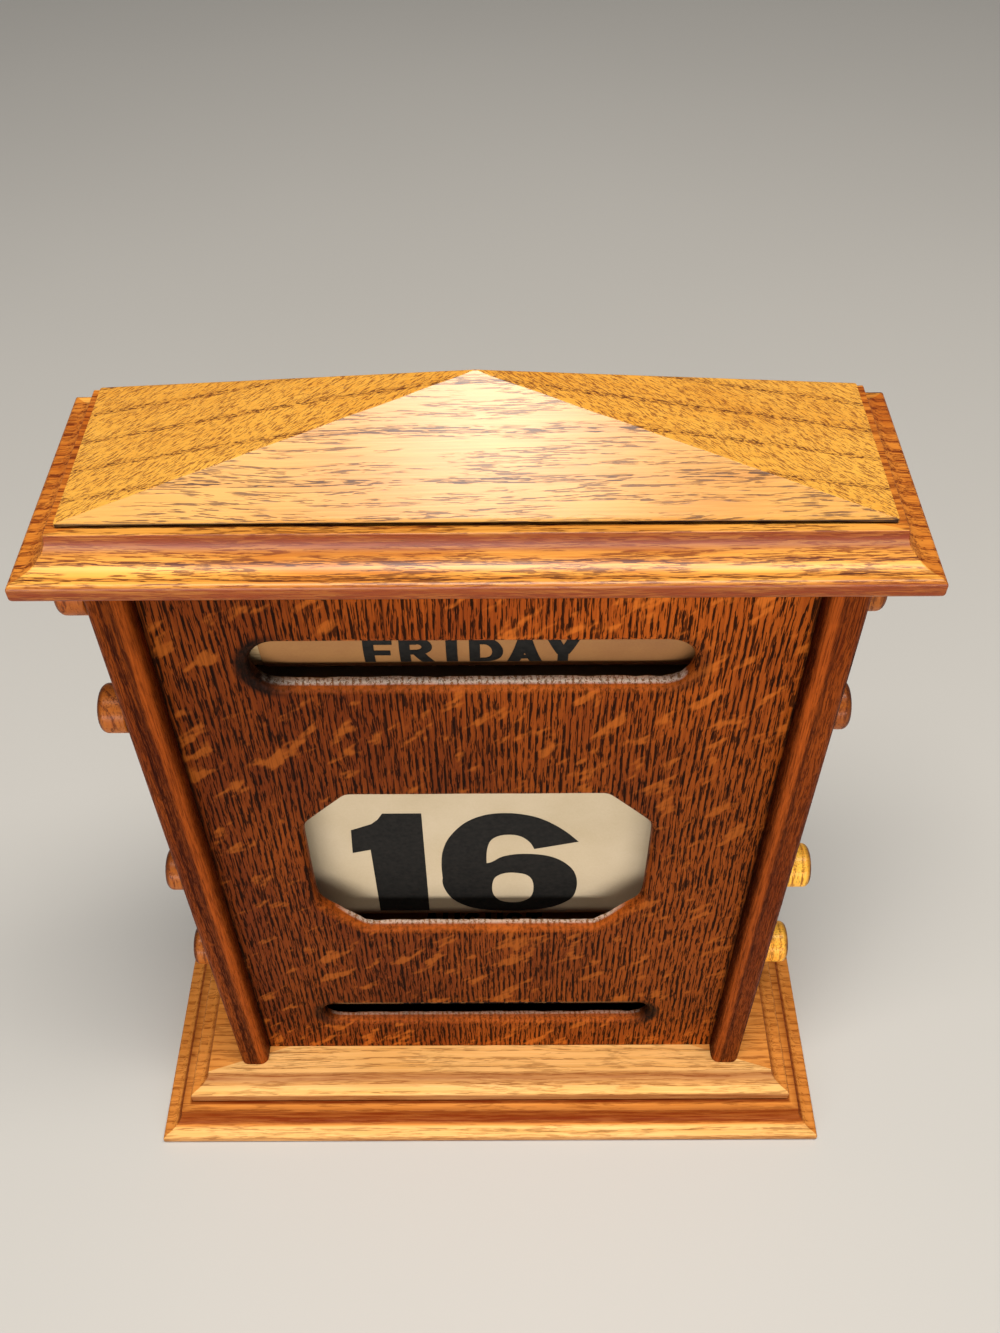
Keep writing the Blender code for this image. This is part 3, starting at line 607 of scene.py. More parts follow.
def date_numerals(ink):
    """The figures 1 and 6, 59 mm high, in mm across and up: the one is a stem with its upper
    left corner cut away and a flag; the six is a hook and a bowl, each a stroke between two
    smooth edges."""
    stem = np.array([(-37.6, 99.4), (-38.1, 138.0), (-37.9, 151.0), (-34.6, 154.6),
                     (-32.8, 158.0)])
    flag = np.array([[(-44.2, 135.9), (-43.6, 148.9)], [(-36.5, 138.2), (-36.5, 152.4)]])
    hook_out = [(30.6, 141.8), (26.2, 147.6), (20.7, 152.9), (15.0, 156.3), (7.8, 157.9),
                (0.2, 157.0), (-6.5, 152.7), (-11.7, 144.9), (-14.2, 137.0), (-15.0, 128.5),
                (-14.9, 119.5)]
    hook_in = [(16.1, 137.7), (14.6, 141.5), (11.7, 144.9), (7.9, 146.0), (4.2, 145.2),
               (1.6, 142.4), (0.4, 136.9), (0.2, 129.5), (0.6, 126.0), (1.2, 122.0),
               (1.7, 117.5)]
    bowl_out = [(12.1, 134.9), (20.0, 133.9), (25.6, 130.4), (29.6, 124.5), (31.0, 116.8),
                (30.0, 108.9), (26.8, 104.6), (21.8, 101.5), (15.1, 99.3), (7.8, 98.7),
                (0.8, 99.5), (-5.8, 102.0), (-11.2, 106.4), (-14.2, 112.8), (-15.0, 119.8),
                (-12.5, 127.0), (-6.0, 129.5), (0.8, 129.6), (5.7, 133.4)]
    bowl_in = [(10.4, 123.5), (13.2, 122.6), (15.0, 120.6), (15.9, 117.6), (16.1, 114.2),
               (15.9, 111.0), (15.0, 108.2), (13.2, 106.2), (11.0, 105.2), (8.9, 105.0),
               (6.8, 105.3), (4.6, 106.3), (3.0, 108.4), (2.1, 111.2), (1.9, 114.2),
               (2.1, 117.6), (3.0, 120.8), (5.0, 122.8), (7.6, 123.7)]
    hook = [smooth_curve(edge, 6) for edge in (hook_out, hook_in)]
    rings = [smooth_curve(edge, 5, closed=True) for edge in (bowl_out, bowl_in)]
    bowl = [np.concatenate([ring, ring[:1]]) for ring in rings]
    strokes = [(stem, stem * (0, 1) + (-20.3, 0)), flag, hook, bowl]
    shapes = print_strokes(strokes, 1.0, (0.0, 0.0), on_scroll, spacing=1.5, across=6)
    add_piece("date_numerals", joined(shapes), "case", "paper", [ink], sharp=60.0)


# ---------------------------------------------------------------- fixings

def screw_head(radius, seat, slot_half, slot_depth):
    """A slotted countersunk head in its own frame, top at height 0. Rows run across the slot's
    direction; columns cross the top, step down into the slot and up again, and return
    below at half the size, where the head meets its shank."""
    reach = math.sqrt(radius ** 2 - slot_half ** 2)
    b = reach * np.sin(np.radians(np.linspace(-90, 90, 25)))[:, None]
    share = np.linspace(1, 0, 7)
    outer = slot_half + (np.sqrt(radius ** 2 - b ** 2) - slot_half) * share
    half, low, fall = 0 * b + slot_half, 0 * b - slot_depth, 0 * outer - 0.05 * share ** 6
    across = np.concatenate([-outer, -half, half, outer[:, ::-1]], 1)
    height = np.concatenate([fall, low, low, fall[:, ::-1]], 1)
    return skin(points_at(np.concatenate([across, 0.5 * across[:, ::-1]], 1),
                          b * np.repeat((1.0, 0.5), across.shape[1]),
                          np.concatenate([height, 0 * height - seat], 1)))


def wood_screws(name, replaced, places, axes, length, slot, material):
    """Slotted countersunk wood screws: each head's slot is turned a different way, and the
    shank below it is turned, with a point. axes are the head's two directions and its
    outward one."""
    points, faces = screw_head(2.4, 1.4, 0.36, 0.75)
    shank = [(-1.3, 0), (-1.3, 1.15), (-length + 2.4, 1.15), (-length, 0)]
    shank_points, shank_faces = turned(shank, 0.0, 0.0, 16)
    axes = np.array(axes, float)
    shapes = []
    for number, place in enumerate(places):
        turn = 0.6 + 2.1 * number
        spin = np.array([(math.cos(turn), math.sin(turn), 0), (-math.sin(turn), math.cos(turn), 0),
                         (0, 0, 1)])
        shapes += [(points @ spin @ axes + place, faces),
                   (shank_points[:, [1, 2, 0]] @ axes + place, shank_faces)]
    add_piece(name, joined(shapes), "case", slot, [material], replaced, sharp=30.0)


# ---------------------------------------------------------------- finishes

def linear(code):
    """An sRGB hex colour as linear red, green, blue and alpha."""
    value = np.array([int(code[k:k + 2], 16) for k in (0, 2, 4)]) / 255
    value = np.where(value <= 0.04045, value / 12.92, ((value + 0.055) / 1.055) ** 2.4)
    return (*value.tolist(), 1.0)


def feed(material, node, inputs):
    """Sets each of a node's inputs to a value, or joins it to the output that is given."""
    for key, value in inputs.items():
        if isinstance(value, bpy.types.NodeSocket):
            material.node_tree.links.new(value, node.inputs[key])
        else:
            node.inputs[key].default_value = value


def add(material, kind, *inputs, output=0, **settings):
    """Adds a node with its settings and gives one of its outputs. Its inputs are given in
    their order, or by name in one dictionary."""
    node = material.node_tree.nodes.new("ShaderNode" + kind)
    for key, value in settings.items():
        setattr(node, key, value)
    named = inputs and isinstance(inputs[0], dict)
    feed(material, node, inputs[0] if named else dict(enumerate(inputs)))
    return node.outputs[output]


def new_material(name):
    """A node material with nothing but its shader, joined to the output."""
    material = bpy.data.materials.new(name)
    material.use_nodes = True
    material.node_tree.nodes.clear()
    shader = add(material, "BsdfPrincipled")
    feed(material, material.node_tree.nodes.new("ShaderNodeOutputMaterial"), {"Surface": shader})
    return material


def finish(material, inputs):
    """Sets or joins inputs of a material's shader."""
    feed(material, material.node_tree.nodes["Principled BSDF"], inputs)


def colour_so_far(material):
    """The output that colours a material's shader."""
    shader = material.node_tree.nodes["Principled BSDF"]
    return shader.inputs["Base Color"].links[0].from_socket


def patches(material, per_metre, detail, rough=0.5):
    """Soft random patches, so many per metre along each axis."""
    place = add(material, "Mapping", {"Vector": add(material, "TexCoord", output="Object"),
                                      "Scale": per_metre})
    return add(material, "TexNoise", {"Vector": place, "Scale": 1.0, "Detail": detail,
                                      "Roughness": rough})


def oak(name, along, out, colours, ring=3.0, pith=400.0, early=0.5, spring=(12.0, 0.7, 0.7, 0.52),
        summer=(14.0, 1.4, 1.2, 0.60), flame=None, ray=(12.0, 10.0, 0.7, 0.64), lean=0.0,
        strengths=(0.5, 0.9, 0.7, 0.35), shift=(0.0, 0.0, 0.0), bend=2.0, uneven=0.7, paler=0.0,
        roughness=0.42, gloss=0.5, coat=0.4, coat_roughness=0.18):
    """Quarter-sawn or slash-sawn oak, sawn, sanded and varnished, as one solid pattern.

    along is the direction of the fibres and out the one from the heart of the tree to its
    bark. Rings are shells round a heart that lies pith mm away, ring mm apart. The pores of
    the spring growth and those of the summer growth are streaks along the fibres, and rays
    are thin sheets from the heart outwards: each is a length along the fibres, one outwards,
    one round the rings, all in mm, and a limit that grows with how rare it is. flame is the
    same for the tongues into which summer pores gather, or None. lean tilts the rays'
    patches. strengths are those of the spring growth's tint, the spring pores, the
    summer pores and the rays. paler is how much lighter the wood is painted per mm outwards:
    a painted gradient of light. The colours are the wood's light and deep tones and those of
    the spring growth, the spring and summer pores and the rays.
    """
    material = new_material(name)
    node = partial(add, material)
    smooth = {"interpolation_type": "SMOOTHSTEP"}
    along, out = Vector(along).normalized(), Vector(out)
    out = (out - along * out.dot(along)).normalized()
    turn = Matrix((along, out, along.cross(out))).to_euler()
    light, deep, early_tint, hollow, streak, fleck = map(linear, colours.split())

    def grain(where, size, detail, rough=0.5, output=0):
        """Noise whose patches have the lengths size, in mm."""
        scaled = node("VectorMath", where, tuple(1 / s for s in size), operation="MULTIPLY")
        return node("TexNoise", {"Vector": scaled, "Scale": 1.0, "Detail": detail,
                                 "Roughness": rough}, output=output)

    def streaks(where, form, detail, rough, below, above):
        """Grain that shows only where it passes the limit at the end of its form."""
        return node("MapRange", grain(where, form[:3], detail, rough), form[3] - below,
                    form[3] + above, **smooth)

    place = node("Mapping", {"Vector": node("TexCoord", output="Object"), "Location": shift,
                             "Rotation": tuple(turn), "Scale": (1000.0,) * 3})
    drift = node("VectorMath", grain(place, (90.0, 40.0, 40.0), 2.0, output=1), (0.5,) * 3,
                 operation="SUBTRACT")
    drift = node("VectorMath", drift, (0.0, 2 * bend, 2 * bend), place, operation="MULTIPLY_ADD")
    _, outwards, sideways = node("SeparateXYZ", drift).node.outputs
    from_heart = node("CombineXYZ", 0.0, node("Math", outwards, pith, operation="ADD"), sideways)
    distance = node("VectorMath", from_heart, operation="LENGTH", output=1)
    years = node("Math", node("Math", distance, pith, operation="SUBTRACT"), ring,
                 operation="DIVIDE")
    waver = node("Math", grain(node("CombineXYZ", distance), (ring * 2.3,) * 3, 1.0), 0.5,
                 operation="SUBTRACT")
    years = node("Math", waver, uneven, years, operation="MULTIPLY_ADD")
    growth = node("MapRange", node("Math", years, operation="FRACT"), 0.0, early, 1.0, 0.0,
                  **smooth)

    spring_pores = node("Math", streaks(drift, spring, 1.5, 0.6, 0.02, 0.03),
                        node("MapRange", growth, 0.15, 0.6, **smooth), operation="MULTIPLY")
    summer_pores = streaks(drift, summer, 2.0, 0.65, 0.02, 0.03)
    if flame:
        summer_pores = node("Math", summer_pores, streaks(drift, flame, 1.5, 0.55, 0.03, 0.04),
                            operation="MULTIPLY")
    leaning = node("CombineXYZ", node("Math", outwards, lean, operation="MULTIPLY"))
    leaning = node("VectorMath", drift, leaning, operation="ADD")
    rays = streaks(leaning, ray, 2.5, 0.6, 0.03, 0.09)
    clear = node("Math", rays, -0.75, 1.0, operation="MULTIPLY_ADD")
    spring_pores, summer_pores = (node("Math", pores, clear, operation="MULTIPLY")
                                  for pores in (spring_pores, summer_pores))
    fibres = grain(drift, (26.0, 0.55, 0.55), 3.0, 0.6)
    tone = node("Math", grain(place, (70.0, 26.0, 26.0), 2.0), 0.55,
                node("Math", fibres, 0.5, operation="MULTIPLY"), operation="MULTIPLY_ADD")
    # paler paints a gradient of light: the wood lighter outwards
    tone = node("Math", outwards, paler, tone, operation="MULTIPLY_ADD")

    colour = deep
    for share, strength, tint in (
            (node("MapRange", tone, 0.33, 0.70, **smooth), 1.0, light),
            (growth, strengths[0], early_tint), (rays, strengths[3], fleck),
            (summer_pores, strengths[2], streak), (spring_pores, strengths[1], hollow)):
        share = node("Math", share, strength, operation="MULTIPLY")
        colour = node("Mix", {0: share, 6: colour, 7: tint}, data_type="RGBA", output=2)
    pores = node("Math", spring_pores, node("Math", summer_pores, 0.7, operation="MULTIPLY"),
                 operation="MAXIMUM", name="pores")
    relief = node("Math", pores, -0.08, node("Math", fibres, 0.03, operation="MULTIPLY"),
                  operation="MULTIPLY_ADD")
    finish(material, {
        "Base Color": colour,
        "Normal": node("Bump", {"Height": relief, "Strength": 0.8, "Distance": 0.001}),
        "Roughness": node("Math", pores, 0.25, roughness, operation="MULTIPLY_ADD"),
        "Specular IOR Level": gloss, "Coat Weight": coat, "Coat Roughness": coat_roughness})
    return material


def lay_over(material, share, colour, blend="MIX"):
    """Mixes a colour over the one that a material's shader has, as far as share says."""
    finish(material, {"Base Color": add(
        material, "Mix", {0: share, 6: colour_so_far(material), 7: colour}, data_type="RGBA",
        blend_type=blend, output=2)})


def show_marks(material, stain_and_shade_colour, even, per_metre):
    """Changes an oak finish where its piece is marked. Where the attribute for worn and lit
    edges is 0.5 the varnish is worn to a clear orange, and where it is 1 the saw left the end
    grain pale, painted near white as where light strikes it, with its pores open; the panel
    gives these marks only on edges that face up into the light, so they are partly painted
    light. Where dark is 1 the colour goes to the one given for stain and shade, in patches, so
    many per metre, that even (0 to 1) fills: stain gathered in the mouldings, painted shade at
    the ends of the slots, under the noses and on the steep faces of the coves, and darker eave
    faces on the roof and rims and domes on the knobs."""
    node = partial(add, material)
    bare, dark = (node("Attribute", attribute_name=mark, output="Fac") for mark in ("bare", "dark"))
    # Pale end grain, painted near white as where light strikes it
    end_grain_lit = node("Mix", {0: material.node_tree.nodes["pores"].outputs[0],
                             6: linear("F6F2E2"), 7: linear("9A8062")},
                     data_type="RGBA", output=2)
    patch = patches(material, per_metre, 3.0, 0.6)
    for share, spread, colour in (
            (node("MapRange", bare, 0.0, 0.5, 0.0, 0.45),
             node("MapRange", patch, 0.36, 0.58, 0.45, 1.1), linear("BE5E1E")),
            (node("MapRange", bare, 0.5, 1.0, 0.0, 0.62), 1.0, end_grain_lit),
            (dark, node("MapRange", patch, 0.38, 0.6, even, 1.0), linear(stain_and_shade_colour))):
        lay_over(material, node("Math", share, spread, operation="MULTIPLY"), colour)


def soak_ends(material, tint):
    """End grain soaks up more varnish: where the attribute end is 1, the colour is multiplied
    by the tint."""
    end = add(material, "Attribute", attribute_name="end", output="Fac")
    lay_over(material, end, linear(tint), "MULTIPLY")


def edge_streak(material, place, width, colour, most=0.92):
    """A streak up both sides of the case, place mm from its middle, that wanders by up to
    0.75 mm, fades out over width mm to each side and breaks up along the fibres."""
    node = partial(add, material)
    away = node("SeparateXYZ", node("TexCoord", output="Object"))
    away = node("Math", away, operation="ABSOLUTE")
    away = node("Math", patches(material, (6.0, 6.0, 30.0), 3.0), 0.0015, away,
                operation="MULTIPLY_ADD")
    away = node("Math", away, place / 1000 + 0.00075, operation="SUBTRACT")
    away = node("Math", away, operation="ABSOLUTE")
    share = node("MapRange", away, width / 1000, width / 3000, 0.0, most,
                 interpolation_type="SMOOTHSTEP")
    fibre = node("MapRange", patches(material, (2200.0, 2200.0, 80.0), 2.0), 0.38, 0.56, 0.3, 1.0)
    lay_over(material, node("Math", share, fibre, operation="MULTIPLY"), linear(colour))


def paint_inside_shade(material, low, high):
    """Paints the part of a board that lies inside the case near black: painted shade for the
    dark inside of the case, between two corners of a box in mm."""
    node = partial(add, material)
    size, centre = ([(b + sign * a) / 2000 for a, b in zip(low, high)] for sign in (-1, 1))
    near = node("VectorMath", node("TexCoord", output="Object"), centre, operation="SUBTRACT")
    near = node("VectorMath", near, operation="ABSOLUTE")
    near = node("VectorMath", size, near, operation="SUBTRACT")
    x, y, z = node("SeparateXYZ", near).node.outputs
    least = node("Math", node("Math", x, y, operation="MINIMUM"), z, operation="MINIMUM")
    lay_over(material, node("MapRange", least, 0.0, 0.002), linear("1E0F08"))


def paint_light_pool(material, centre, reach, amount):
    """A painted pool of light: the colour is amount times as light at the centre, and the change
    dies away over reach mm in each direction."""
    node = partial(add, material)
    place = node("Mapping", {"Vector": node("TexCoord", output="Object"),
                             "Location": tuple(-c / r for c, r in zip(centre, reach)),
                             "Scale": tuple(1000.0 / r for r in reach)})
    away = node("VectorMath", place, operation="LENGTH", output=1)
    level = node("MapRange", away, 0.0, 1.0, amount, 1.0, interpolation_type="SMOOTHSTEP")
    finish(material, {"Base Color": node("VectorMath", {0: colour_so_far(material),
                                                        "Scale": level}, operation="SCALE")})


def tint(material, share, dark, light, low=0.0, high=1.0):
    """Colours a shader from dark to light as share rises from low to high."""
    colour = add(material, "ValToRGB", share)
    for element, place, shade in zip(colour.node.color_ramp.elements, (low, high), (dark, light)):
        element.position, element.color = place, shade
    finish(material, {"Base Color": colour})


def printed_paper(name, dark, light):
    """Uncoated paper, machine made and yellowed with age: matt, faintly mottled, with short
    fibres drawn coarser than they are (0.6 mm) so that they show."""
    material = new_material(name)
    mottle, fibre = patches(material, (50.0,) * 3, 5.0), patches(material, (1600.0,) * 3, 3.0)
    share = add(material, "Math", mottle, 0.8,
                add(material, "Math", fibre, 0.25, operation="MULTIPLY"),
                operation="MULTIPLY_ADD")
    tint(material, share, linear(dark), linear(light), 0.3, 0.75)
    finish(material, {"Roughness": 0.8, "Normal": add(
        material, "Bump", {"Height": fibre, "Strength": 0.3, "Distance": 0.0001})})
    return material


def printing_ink():
    """Black letterpress ink on paper: matt, a little uneven where it lies thin."""
    material = new_material("letterpress_ink")
    tint(material, patches(material, (700.0,) * 3, 4.0), linear("100F0D"), linear("221F1B"),
         0.3, 0.8)
    finish(material, {"Roughness": 0.7, "Specular IOR Level": 0.15})
    return material


def screw_metal(name, colour, roughness):
    """Turned wood-screw metal, dulled by handling: patches of tarnish, rougher where they are
    darker."""
    material = new_material(name)
    tarnish = patches(material, (900.0,) * 3, 4.0)
    *bright, alpha = linear(colour)
    tint(material, tarnish, (*(0.45 * c for c in bright), alpha), (*bright, alpha), 0.35, 0.7)
    finish(material, {"Metallic": 1.0, "Roughness": add(
        material, "MapRange", tarnish, 0.3, 0.7, roughness + 0.2, roughness)})
    return material


def painted_floor():
    """A plain pale studio floor: matt paint, one colour but for a faint unevenness."""
    material = new_material("pale_studio_floor")
    tint(material, patches(material, (2.0,) * 3, 2.0), linear("BFBFBD"), linear("C7C7C5"))
    finish(material, {"Roughness": 0.7})
    return material


# ---------------------------------------------------------------- camera, floor and light

# Name, place and aim in metres, size, watts and colour. The glow lamp shows only as a sheen
lamps = (("key_lamp", (0.08, -0.26, 1.68), (0.0, 0.0, 0.2), (1.3, 0.36), 32.5, "FFF6EA"),
         ("glow_lamp", (0.0, -0.275, 0.86), (0.0, -0.02, 0.295), (0.13, 0.16), 2.5, "FFF8F0"),
         ("fill_left", (-0.55, -1.7, 0.30), (0.0, 0.0, 0.15), (1.2, 0.4), 16.0, "FFFFFF"),
         ("fill_right", (0.45, -1.75, 0.32), (0.0, 0.0, 0.15), (1.2, 0.4), 13.0, "FFFFFF"))


def set_up_studio():
    """The camera of the photograph, a pale floor, a key lamp high in front and soft fill."""
    pitch, yaw, roll = math.radians(47.62), math.radians(-0.27), math.radians(-0.51)
    ahead = Vector((math.sin(yaw) * math.cos(pitch), math.cos(yaw) * math.cos(pitch),
                    -math.sin(pitch)))
    right = Vector((math.cos(yaw), -math.sin(yaw), 0.0))
    up = right.cross(ahead)
    c, s = math.cos(roll), math.sin(roll)
    right, up = c * right + s * up, c * up - s * right
    lens = bpy.data.cameras.new("camera")
    lens.lens, lens.sensor_width, lens.clip_start = 34.49, 36.0, 0.01
    camera = new_object("camera", lens)
    place = Matrix((right, up, -ahead)).transposed().to_4x4()
    place.translation = Vector((0.0064, -0.2436, 0.4906))
    camera.matrix_world = place
    bpy.context.scene.camera = camera

    reach = 6.0
    mesh = bpy.data.meshes.new("floor")
    mesh.from_pydata([(-reach, -reach, 0.0), (reach, -reach, 0.0), (reach, reach, 0.0),
                      (-reach, reach, 0.0)], [], [(0, 1, 2, 3)])
    mesh.materials.append(painted_floor())
    floor = new_object("floor", mesh)

    for name, spot, aim, size, power, colour in lamps:
        lamp = bpy.data.lights.new(name, "AREA")
        lamp.shape, lamp.size, lamp.size_y = "RECTANGLE", size[0], size[1]
        lamp.energy, lamp.color = power, linear(colour)[:3]
        holder = new_object(name, lamp)
        turn = (Vector(aim) - Vector(spot)).to_track_quat("-Z", "Y")
        holder.matrix_world = Matrix.Translation(spot) @ turn.to_matrix().to_4x4()
        holder.visible_diffuse = name != "glow_lamp"

    world = bpy.data.worlds.new("studio")
    world.use_nodes = True
    sky = world.node_tree.nodes["Background"].inputs
    sky["Color"].default_value, sky["Strength"].default_value = linear("E6E8EA"), 0.12
    bpy.context.scene.world = world
    bpy.context.scene.view_settings.view_transform = "Standard"


# ---------------------------------------------------------------- the calendar

set_up_studio()

# The roof's block lies with its rings level: long open pores on the front, under a satin
# varnish that glows softly, and short ones in wavy bands on the slopes that cut the fibres
roof_cut = dict(along=(1, 0.012, 0.004), out=(0, 0.95, 0.31), ring=10.7, pith=260.0, early=0.24,
                spring=(6.0, 0.36, 0.36, 0.54), ray=(30.0, 9.0, 0.5, 0.60),
                shift=(0, -7.3, -280), uneven=0.1, roughness=0.36, coat_roughness=0.26)
roof_oak = oak("roof_oak_varnished", colours="CA9547 B77A2E A46624 3C1A0A 4A240E C29344",
               summer=(7.0, 0.9, 0.14, 0.545), flame=(24.0, 4.0, 0.9, 0.475),
               strengths=(0.3, 0.9, 0.8, 0.15), gloss=0.25, coat=0.42, **roof_cut)
# Painted light: the end slopes' finish is lighter and the front slope's darker, to offset the
# stronger light on the front
hip_oak = oak("roof_oak_across_fibres_painted_lighter", colours="E4AA46 CF8C2D BA7623 4E1E06 703410 DCA848",
              summer=(7.0, 1.3, 0.14, 0.545), strengths=(0.3, 0.9, 0.75, 0.15), gloss=0.2,
              coat=0.3, **roof_cut)
# The cap: fine straight pores and a soft sheen, redder in its cove, where old stain lies and the
# cove's steep top is painted as shade
cap_oak = oak("cap_oak_varnished", (1, 0, 0), (0, 1, 0.35),
              "EAA94A BA7022 9A4C10 461604 5C2606 D8983F", ring=4.0, pith=300.0,
              spring=(6.0, 0.36, 0.36, 0.53), summer=(6.0, 0.34, 0.34, 0.52),
              flame=(20.0, 3.0, 0.9, 0.46), ray=(9.0, 9.0, 0.5, 0.62),
              strengths=(0.45, 0.9, 0.8, 0.3), shift=(20, 0, -265), roughness=0.38, gloss=0.06,
              coat=0.5, coat_roughness=0.34)
soak_ends(cap_oak, "FFE8CC")
# The base boards: paler, worn nearly matt, with stain left in the mouldings and shade painted on
# their steep faces
base_oak = oak("base_oak_varnished", (1, 0, 0), (0, 1, 0.15),
               "FFCB81 EFB465 CF9345 70431D 8A5620 F4C37A", ring=3.2, pith=260.0, early=0.55,
               spring=(9.0, 0.45, 0.45, 0.55), summer=(9.0, 0.40, 0.40, 0.53),
               flame=(24.0, 4.0, 0.9, 0.49), ray=(10.0, 9.0, 0.6, 0.62),
               strengths=(0.4, 0.55, 0.5, 0.3), shift=(-40, 6, 31), gloss=0.06, coat=0.0)
soak_ends(base_oak, "FFDAAA")
# The front panel: quarter sawn, so broad pale rays lie across upright dark pores; paler paints it
# lighter towards the right, a painted gradient of light
panel_oak = oak("panel_oak_quarter_sawn", (0, 0, 1), (1, 0.12, 0),
                "813B0C 5C2407 4B1902 100400 190600 9E5218", ring=1.9, pith=500.0, early=0.8,
                spring=(7.5, 0.62, 0.62, 0.485), summer=(7.0, 0.65, 0.65, 0.565),
                ray=(7.0, 11.0, 4.0, 0.58), lean=-0.7, strengths=(0.25, 0.94, 0.85, 0.6),
                bend=1.6, paler=0.0013, gloss=0.04, coat=0.0)
# The sides: dark brown, with few wide rings, and beside their edges an orange streak, partly the
# grain and partly painted light on the shaded inner rounding, and a dark line
side_oak = oak("side_oak_varnished", (0, 0, 1), (1, 0.1, 0),
               "803A0D 5C2205 2A0701 190401 250702 823C0E", ring=10.4, pith=600.0, early=0.28,
               spring=(6.0, 0.38, 0.38, 0.50), summer=(5.0, 0.36, 0.36, 0.51),
               ray=(7.0, 9.0, 0.9, 0.64), strengths=(0.5, 0.7, 0.6, 0.3), uneven=0.1,
               gloss=0.03, coat=0.0)
# The back panel: plain upright grain with a thin varnish
back_oak = oak("back_oak_varnished", (0, 0, 1), (1, 0.3, 0),
               "8A4418 68300F 50200A 280E06 341208 985020", ring=4.0, pith=120.0, early=0.6,
               summer=(12.0, 1.0, 1.0, 0.58), gloss=0.2, coat=0.1)
# The knobs: turned across the grain and worn dull; two on the right get a lighter copy of the
# finish, painted as more lit
knob_oak, knob_oak_painted_lit = (
    oak(name, (0, 0.2, 1), (1, 0, 0), colours, ring=3.2, pith=90.0, spring=(5.0, 0.5, 0.5, 0.52),
        summer=(5.0, 0.6, 0.6, 0.58), strengths=(0.4, 0.6, 0.5, 0.3), bend=1.0, gloss=0.15,
        coat=0.08)
    for name, colours in (("knob_oak_turned", "AC5F1F 924411 7B330B 3E1605 522107 B26A2A"),
                          ("knob_oak_turned_painted_lit", "FFCB4B FF982C DA7522 6A3412 8A4A16 FFDC60")))
# The axles and drums: bare turned wood, pale and matt
dowel_wood = oak("dowel_wood_bare", (1, 0, 0), (0, 1, 0.4),
                 "CBAA7A B89262 AA8454 8A6840 9C7A50 D8BC90", ring=2.2, pith=60.0, early=0.6,
                 spring=(6.0, 0.5, 0.5, 0.55), summer=(6.0, 0.6, 0.6, 0.62),
                 strengths=(0.3, 0.4, 0.3, 0.2), roughness=0.6, coat=0.0)
# Colours of the dark marks: stain in the mouldings, and on the panel near black painted shade at
# the slot ends
for material, stain_and_shade_colour, even, per_metre in (
        (roof_oak, "1E0A04", 0.8, (100, 500, 500)), (hip_oak, "1E0A04", 0.8, (100, 500, 500)),
        (cap_oak, "7E2E00", 0.75, (50, 800, 800)), (base_oak, "722800", 0.85, (40, 600, 800)),
        (panel_oak, "120703", 0.85, (420, 420, 420)), (knob_oak, "4A1E08", 0.7, (300, 300, 300)),
        (knob_oak_painted_lit, "5A2A0E", 0.7, (300, 300, 300))):
    show_marks(material, stain_and_shade_colour, even, per_metre)
# Painted shade on the base board's top inside the case
paint_inside_shade(base_oak, (-88.0, -15.5, 20.0), (88.0, 43.0, 26.0))
# Painted shadow up the panel's edges, in the corners beside the side boards
edge_streak(panel_oak, 85.6, 1.0, "140602")
# On the sides: an orange streak up the inner rounding, partly grain and partly painted light where
# the rounding is in shade, and a dark line beside it
edge_streak(side_oak, 87.3, 1.9, "AC5018", 0.55)
edge_streak(side_oak, 89.5, 0.9, "240A03", 0.6)
# Painted light: the panel lighter at its upper right, near its top middle, and along its bottom
# where the base throws light up; the right side board lighter near its top
paint_light_pool(panel_oak, (65.0, -17.0, 285.0), (190.0, 60.0, 115.0), 1.9)
paint_light_pool(panel_oak, (0.0, -17.0, 18.0), (600.0, 200.0, 42.0), 1.6)
paint_light_pool(panel_oak, (5.0, -17.0, 262.0), (60.0, 60.0, 45.0), 1.22)
paint_light_pool(side_oak, (91.0, -20.0, 275.0), (45.0, 60.0, 110.0), 1.3)
paper = printed_paper("aged_paper", "BBA684", "C9B596")
# The drums' paper is darker and browner than the scroll's; its darkening is painted shade, for the
# drums lie inside the case
drum_paper = printed_paper("drum_paper_painted_darker", "8A5A2E", "9C6C38")
ink = printing_ink()
brass = screw_metal("brass_turned", "B58C4A", 0.28)
steel = screw_metal("steel_turned", "8C8A86", 0.32)

# Shades along the mouldings: stain in the coves, painted shade on their steep faces and under the
# noses, and on the lower board a painted shadow beside the upper board
moulded_board("lower_base_board", "base_lower_board", 126.5, -45.5,
              np.concatenate([nose_and_cove(0.0, 11.2, 3.8, 1.3, 0.8, 7.4),
                              [(9.9, 11.2), (10.8, 11.2), (13.0, 11.2)]]), 0.0, base_oak,
              [(0, 0.6), (0.5, 0.3), (1.2, 0.0), (3.6, 0.05), (4.2, 0.2), (4.9, 0.55), (5.3, 0.9),
               (6.0, 1.0), (7.3, 1.0), (7.6, 0.7), (9.0, 0.35), (10.0, 0.35), (10.8, 1.0),
               (13.0, 1.0)], 4.0)
moulded_board("upper_base_board", "base_upper_board", 115.2, -34.2,
              nose_and_cove(11.5, 11.2, 5.5, 1.3, 0.8, 6.8), 0.0, base_oak,
              [(0, 0.85), (0.15, 0.6), (0.5, 0.1), (1.2, 0.0), (2.4, 0.0), (3.4, 0.3), (4.8, 0.6),
               (5.7, 0.8), (6.5, 0.8), (6.9, 0.5), (7.2, 0.0)], 20.0)
